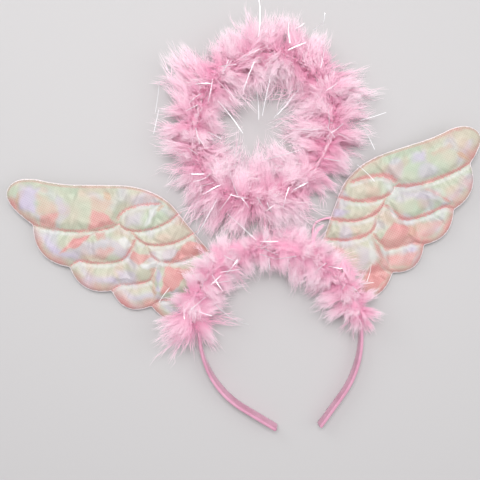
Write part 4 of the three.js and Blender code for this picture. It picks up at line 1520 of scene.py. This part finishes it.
haloBoa = {
    "cordRadius": 2.6,
    # outside and inside are how long the longest tufts are there, in millimetres
    "rows": [
        {"toward": -10, "outside": 28, "inside": 36, "fullOutside": 0.9, "fullInside": 0.6},
        {"toward": 10, "outside": 30, "inside": 36, "fullOutside": 1.0, "fullInside": 0.55},
        {"toward": 35, "outside": 29, "inside": 33, "fullOutside": 1.0, "fullInside": 0.8},
        {"toward": 65, "outside": 24, "inside": 29, "fullOutside": 1.0, "fullInside": 1.0},
        {"toward": 90, "outside": 27, "inside": 28, "fullOutside": 1.0, "fullInside": 1.0},
        {"toward": 115, "outside": 29, "inside": 27, "fullOutside": 1.0, "fullInside": 1.0},
        {"toward": 138, "outside": 35, "inside": 26, "fullOutside": 0.9, "fullInside": 0.9},
        {"toward": 160, "outside": 34, "inside": 24, "fullOutside": 0.9, "fullInside": 1.0},
        {"toward": 180, "outside": 28, "inside": 24, "fullOutside": 1.0, "fullInside": 1.0},
        {"toward": 200, "outside": 23, "inside": 27, "fullOutside": 1.0, "fullInside": 1.0},
        {"toward": 220, "outside": 28, "inside": 31, "fullOutside": 1.0, "fullInside": 1.0},
        {"toward": 262, "outside": 35, "inside": 32, "fullOutside": 1.2, "fullInside": 1.0},
        {"toward": 285, "outside": 22, "inside": 33, "fullOutside": 1.0, "fullInside": 1.0},
        {"toward": 325, "outside": 22, "inside": 34, "fullOutside": 1.0, "fullInside": 0.9},
    ],
    "nap": {
        "Density": 0.36e6,
        "Lock Spacing": 0.003,
        "Shortest Lock": 0.16,
        "Longest Lock": 0.32,
        "Lock Sprawl": 1.5,
        "Flatness": 0.5,
        "Gathering": 0.8,
        "Scatter": 0.7,
        "Breadth": 1.8,
        "Seed": 37,
    },
    "down": {
        "Density": 0.5e6,
        "Lock Spacing": 0.005,
        "Shortest Lock": 0.35,
        "Longest Lock": 0.62,
        "Lock Sprawl": 0.9,
        "Flatness": 1.0,
        "Gathering": 0.4,
        "Scatter": 0.5,
        "Breadth": 1.7,
        "Seed": 3,
    },
    "plume": {
        "Density": 0.7e6,
        "Lock Spacing": 0.0048,
        "Shortest Lock": 0.75,
        "Longest Lock": 1.12,
        "Lock Sprawl": 0.8,
        "Flatness": 0.55,
        "Gathering": 0.74,
        "Scatter": 0.2,
        "Seed": 8,
    },
    "strays": {
        "Density": 0.05e6,
        "Lock Spacing": 0.006,
        "Shortest Lock": 1.1,
        "Longest Lock": 1.45,
        "Lock Sprawl": 0.9,
        "Flatness": 0.25,
        "Gathering": 0.7,
        "Scatter": 0.3,
        "Seed": 21,
    },
}
crownBoa = {
    "cordRadius": 2.6,
    "height": 13.5,
    # out is how far outside the band's outer face the cord runs
    "rows": [
        {"toward": 163, "out": 3, "outside": 38, "inside": 24, "fullOutside": 0.55, "fullInside": 0.8},
        {"toward": 155, "out": 5, "outside": 26, "inside": 27, "fullOutside": 0.9, "fullInside": 0.7},
        {"toward": 148, "out": 8, "outside": 13, "inside": 28, "fullOutside": 1.0, "fullInside": 0.8},
        {"toward": 130, "out": 7, "outside": 13, "inside": 24, "fullOutside": 1.0, "fullInside": 1.0},
        {"toward": 118, "out": 6, "outside": 20, "inside": 18, "fullOutside": 0.9, "fullInside": 1.0},
        {"toward": 107, "out": 5, "outside": 13, "inside": 15, "fullOutside": 1.0, "fullInside": 1.0},
        {"toward": 95, "out": 4.5, "outside": 8, "inside": 18, "fullOutside": 1.0, "fullInside": 1.0},
        {"toward": 84, "out": 2, "outside": 18, "inside": 18, "fullOutside": 1.0, "fullInside": 0.9},
        {"toward": 70, "out": 0, "outside": 19, "inside": 22, "fullOutside": 1.0, "fullInside": 0.9},
        {"toward": 58, "out": -1, "outside": 17, "inside": 20, "fullOutside": 1.0, "fullInside": 0.9},
        {"toward": 49, "out": -2, "outside": 12, "inside": 21, "fullOutside": 0.8, "fullInside": 0.9},
        {"toward": 38, "out": -3, "outside": 14, "inside": 25, "fullOutside": 0.75, "fullInside": 0.8},
        {"toward": 26, "out": -3, "outside": 12, "inside": 28, "fullOutside": 0.5, "fullInside": 0.8},
        {"toward": 12, "out": -3, "outside": 19, "inside": 23, "fullOutside": 0.8, "fullInside": 0.8},
        {"toward": 3, "out": -2, "outside": 17, "inside": 12, "fullOutside": 0.8, "fullInside": 0.8},
    ],
    "nap": {**haloBoa["nap"], "Density": 0.34e6, "Seed": 33},
    "down": {**haloBoa["down"], "Density": 0.6e6, "Seed": 5},
    "plume": {**haloBoa["plume"], "Density": 1.0e6, "Seed": 11},
    "strays": {**haloBoa["strays"], "Seed": 23},
}


def haloFlow(angle, along):
    # the tufts lean to and fro along the hoop
    return tuple(along * 0.25 * math.sin(math.radians(angle) * 5) + np.array([0, 0, 0.1]))


def growBoa(name, skin, path, boa, node, deep, pale):
    skin.data.materials.append(spunThread("twisted cotton cord", "FBE0EA"))
    pieces = [skin]
    for part, material in (("nap", deep), ("down", deep), ("plume", pale), ("strays", pale)):
        settings = {**boa[part], "Material": material}
        piece = runTree(name + part.capitalize(), skin, plume, settings)
        softNormals(piece, path)
        pieces.append(piece)
    thinToCord(skin)
    for piece in pieces:
        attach(piece, "root")
        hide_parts(node)


def makeHaloBoa(deep, pale):
    path = hoopLine(200)[::-1]
    skin = cordSkin("haloCord", path, hoopCentre, haloBoa["cordRadius"], True, haloBoa["rows"], haloFlow)
    growBoa("halo", skin, path, haloBoa, "halo_trim", deep, pale)


def crownFlow(angle, along):
    # the ends splay out along the band, and right of the stem the vanes lie along it
    splay = max(0, (angle - 152) / 18) - max(0, (14 - angle) / 11)
    combed = math.exp(-(((angle - 70) / 13) ** 2))
    return tuple(along * (combed * 0.9 - splay * 1.5) + np.array([0, 0, 0.15]))


def crownCordLine():
    rising = crownBoa["rows"][::-1]
    line = []
    for angle in np.linspace(crownBoa["rows"][0]["toward"], crownBoa["rows"][-1]["toward"], 120):
        out = np.interp(angle, [row["toward"] for row in rising], [row["out"] for row in rising])
        radius = crownRadius / mm + out
        turn = math.radians(angle)
        line.append(fromCrown(radius * math.cos(turn), radius * math.sin(turn), crownBoa["height"]))
    return line


def makeCrownBoa(deep, pale):
    path = crownCordLine()
    rows = crownBoa["rows"]
    skin = cordSkin("crownCord", path, crownCentre, crownBoa["cordRadius"], False, rows, crownFlow)
    growBoa("crown", skin, path, crownBoa, "crown_trim", deep, pale)
    makeVanes(path, pale)


# Broad feathers that lie smooth on the crown. Each has three places along its shaft, in millimetres from
# the crown's centre, and the width of its vane on either side.
vane = {
    "barbs": 60,
    "barbWidth": 0.42,
    "low": 13.5,  # height of the shaft's ends
    "arch": 6,  # how far its middle rises above them
    "droop": 2.5,  # how far a barb's tip hangs below the shaft
    "seed": 41,
}
barbFaces = ((0, 1, 3, 2), (2, 3, 5, 4), (4, 5, 6))
vanes = [
    {"quill": (34.1, 49.5), "bend": (32.6, 75.4), "tip": (6.8, 75.1), "width": 7},
    {"quill": (31.1, 46.3), "bend": (24.8, 65.8), "tip": (1.4, 65), "width": 8},
    {"quill": (36, 46.7), "bend": (30.1, 68.5), "tip": (45, 73.2), "width": 2.4},
    {"quill": (-7.4, 63.5), "bend": (-20.7, 71.4), "tip": (-39.4, 69.2), "width": 7},
    {"quill": (-16.1, 55.9), "bend": (-29.1, 65.5), "tip": (-49.9, 58.2), "width": 8},
    {"quill": (39.6, 46.1), "bend": (51.5, 51.3), "tip": (61.6, 32.4), "width": 9},
    {"quill": (51.1, 28.2), "bend": (56.5, 17.4), "tip": (58, 5), "width": 4.5},
]


def vaneBarb(shaft, heading, side, size, lift):
    # one barb, a ribbon that leaves the shaft and bends to the feather's tip
    left = np.array([-heading[1], heading[0], 0])
    points = []
    for out in (0, 0.4, 0.75, 1):
        middle = shaft + left * side * size * out + heading * size * (0.8 * out + 0.6 * out**2)
        middle[2] += (lift - vane["droop"] * out**2) * mm
        half = heading * vane["barbWidth"] / 2 * (1 - 0.4 * out) * mm
        points.extend([middle - half, middle + half] if out < 1 else [middle])
    return points


def makeVanes(path, material):
    rng = np.random.default_rng(vane["seed"])
    points, faces, along, tone = [], [], [], []
    for row in vanes:
        quill, bend, tip = (np.array(fromCrown(*row[place])) for place in ("quill", "bend", "tip"))
        shade = rng.uniform(0.2, 0.8)
        for share in np.linspace(0.03, 0.98, vane["barbs"]):
            shaft = quill * (1 - share) ** 2 + bend * 2 * share * (1 - share) + tip * share**2
            shaft[2] = (vane["low"] + vane["arch"] * math.sin(math.pi * (0.1 + 0.8 * share))) * mm
            heading = (bend - quill) * (1 - share) + (tip - bend) * share
            heading /= np.linalg.norm(heading)
            full = row["width"] * math.sin(math.pi * (0.12 + 0.8 * share)) ** 0.7 * mm
            for side in (-1, 1):
                first = len(points)
                size = full * rng.uniform(0.6, 1.2)
                lift = rng.normal(0, 0.6)
                points.extend(vaneBarb(shaft, heading, side, size, lift))
                faces.extend(tuple(first + k for k in face) for face in barbFaces)
                along.extend([0.2, 0.2, 0.4, 0.4, 0.6, 0.6, 0.9])
                tone.extend([shade] * 7)
    piece = meshPiece("crownVanes", points, faces)
    storeFloats(piece.data, "along", along)
    storeFloats(piece.data, "tone", tone)
    piece.data.materials.append(material)
    softNormals(piece, path)
    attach(piece, "root")
    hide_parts("crown_trim")
    print("crown feathers made,", len(faces), "faces")


deepDown = marabouDown("dyed marabou down", "FFA8CE", "FFC1DC", "FFDCEA")
paleDown = marabouDown("dyed marabou tips", "FFB8D6", "FFD3E5", "FFF3F8")
makeHaloBoa(deepDown, paleDown)
makeCrownBoa(deepDown, paleDown)
for shape in tufts:
    bpy.data.objects.remove(shape)


# Tinsel: strips of film knotted in with the boa. The table has those that show one by one, from and to
# in millimetres from the crown's centre, and the rest are scattered.

tinsel = {
    "width": 0.36,
    "thickness": 0.05,
    "height": 25,
    "more": 45,  # scattered strips
    "shortest": 7,
    "longest": 16,
    "seed": 17,
}
tinselStrips = [
    {"from": (21, 216), "to": (26, 246)},
    {"from": (-33, 203), "to": (-42, 222)},
    {"from": (-62, 175), "to": (-55, 196)},
    {"from": (-66, 160), "to": (-59, 176)},
    {"from": (11, 157), "to": (13, 176)},
    {"from": (14, 159), "to": (24, 184)},
    {"from": (25, 158), "to": (43, 173)},
    {"from": (22, 156), "to": (39, 173)},
    {"from": (-3, 175), "to": (-15, 191)},
    {"from": (-2, 149), "to": (-16, 175)},
    {"from": (37, 130), "to": (7, 127)},
    {"from": (103, 146), "to": (83, 143)},
    {"from": (90, 121), "to": (82, 143)},
    {"from": (86, 98), "to": (75, 112)},
    {"from": (-47, 83), "to": (-29, 105)},
    {"from": (-6, 71), "to": (-23, 93)},
    {"from": (2, 199), "to": (-11, 199)},
    {"from": (4, 180), "to": (15, 198)},
    {"from": (-23, 176), "to": (-17, 191)},
    {"from": (-18, 148), "to": (-27, 154)},
    {"from": (55, 142), "to": (32, 146)},
    {"from": (48, 217), "to": (55, 219)},
    {"from": (69, 217), "to": (71, 224)},
    {"from": (61, 214), "to": (69, 217)},
    {"from": (64, 117), "to": (52, 121)},
    {"from": (-11, 134), "to": (-9, 140)},
    {"from": (-42, 52), "to": (-36, 39)},
    {"from": (-43, 30), "to": (-22, 12)},
    {"from": (-49, 48), "to": (-51, 42)},
    {"from": (-66, 33), "to": (-67, 24)},
    {"from": (-57, 28), "to": (-47, 23)},
    {"from": (34, 42), "to": (41, 46)},
    {"from": (1, 57), "to": (0, 49)},
    {"from": (-20, 60), "to": (-24, 55)},
    {"from": (58, 45), "to": (63, 46)},
    {"from": (-74, 48), "to": (-83, 39)},
    {"from": (-63, 47), "to": (-62, 43)},
    {"from": (49, 25), "to": (52, 29)},
    {"from": (-4, 66), "to": (3, 72)},
]


def filmStrip(start, end, rng):
    # a narrow strip that bows and twists a little on its way
    steps = 8
    start, end = np.array(start), np.array(end)
    reach = end - start
    length = np.linalg.norm(reach)
    left = np.array([-reach[1], reach[0], 0]) / length
    bow = rng.normal(0, 0.03) * length
    sag = rng.uniform(0.01, 0.06) * length
    twist, turn = rng.uniform(-0.9, 0.9), rng.uniform(-0.5, 0.5)
    points, faces = [], []
    for k in range(steps + 1):
        t = k / steps
        middle = start + reach * t + left * bow * 4 * t * (1 - t) + np.array([0, 0, sag * 4 * t * (1 - t)])
        angle = turn + twist * t
        across = left * math.cos(angle) + np.array([0, 0, 1.0]) * math.sin(angle)
        through = np.cross(reach / length, across)
        half = across * tinsel["width"] / 2 * mm
        thin = through * tinsel["thickness"] / 2 * mm
        points.extend([middle - half - thin, middle + half - thin, middle + half + thin, middle - half + thin])
    for k in range(steps):
        for j in range(4):
            a, b = 4 * k + j, 4 * k + (j + 1) % 4
            faces.append((a, b, b + 4, a + 4))
    faces.extend([(3, 2, 1, 0), (4 * steps, 4 * steps + 1, 4 * steps + 2, 4 * steps + 3)])
    return points, faces


def makeTinsel():
    rng = np.random.default_rng(tinsel["seed"])
    ends = [
        (fromCrown(*row["from"], tinsel["height"] - 3), fromCrown(*row["to"], tinsel["height"]))
        for row in tinselStrips
    ]
    ring = hoopLine(360)
    for k in range(tinsel["more"]):
        if k % 3:
            root = Vector(ring[rng.integers(len(ring))])
            root.z = tinsel["height"] * mm
            outward = (root - hoopCentre).to_2d().normalized()
        else:
            angle = math.radians(rng.uniform(22, 155))
            outward = Vector((math.cos(angle), math.sin(angle)))
            radius = crownRadius / mm + 3
            root = fromCrown(radius * outward.x, radius * outward.y, tinsel["height"] + 1)
        swing = rng.uniform(-2.6, 2.6)
        heading = Vector((*outward, 0))
        heading.rotate(Matrix.Rotation(swing, 3, "Z"))
        shift = Vector((*outward, 0)) * rng.normal(0, 3) * mm
        size = rng.uniform(tinsel["shortest"], tinsel["longest"]) * mm
        lift = Vector((0, 0, rng.uniform(-4, 1.5) * mm))
        ends.append((root + shift, root + shift + heading * size + lift))
    points, faces = [], []
    for start, end in ends:
        made, sides = filmStrip(start, end, rng)
        faces.extend(tuple(k + len(points) for k in side) for side in sides)
        points.extend(made)
    piece = outwardFaces(meshPiece("tinselStrips", points, faces, smooth=False))
    piece.data.materials.append(metallisedFilm())
    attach(piece, "root")
    print("tinsel made,", len(faces), "faces")


makeTinsel()
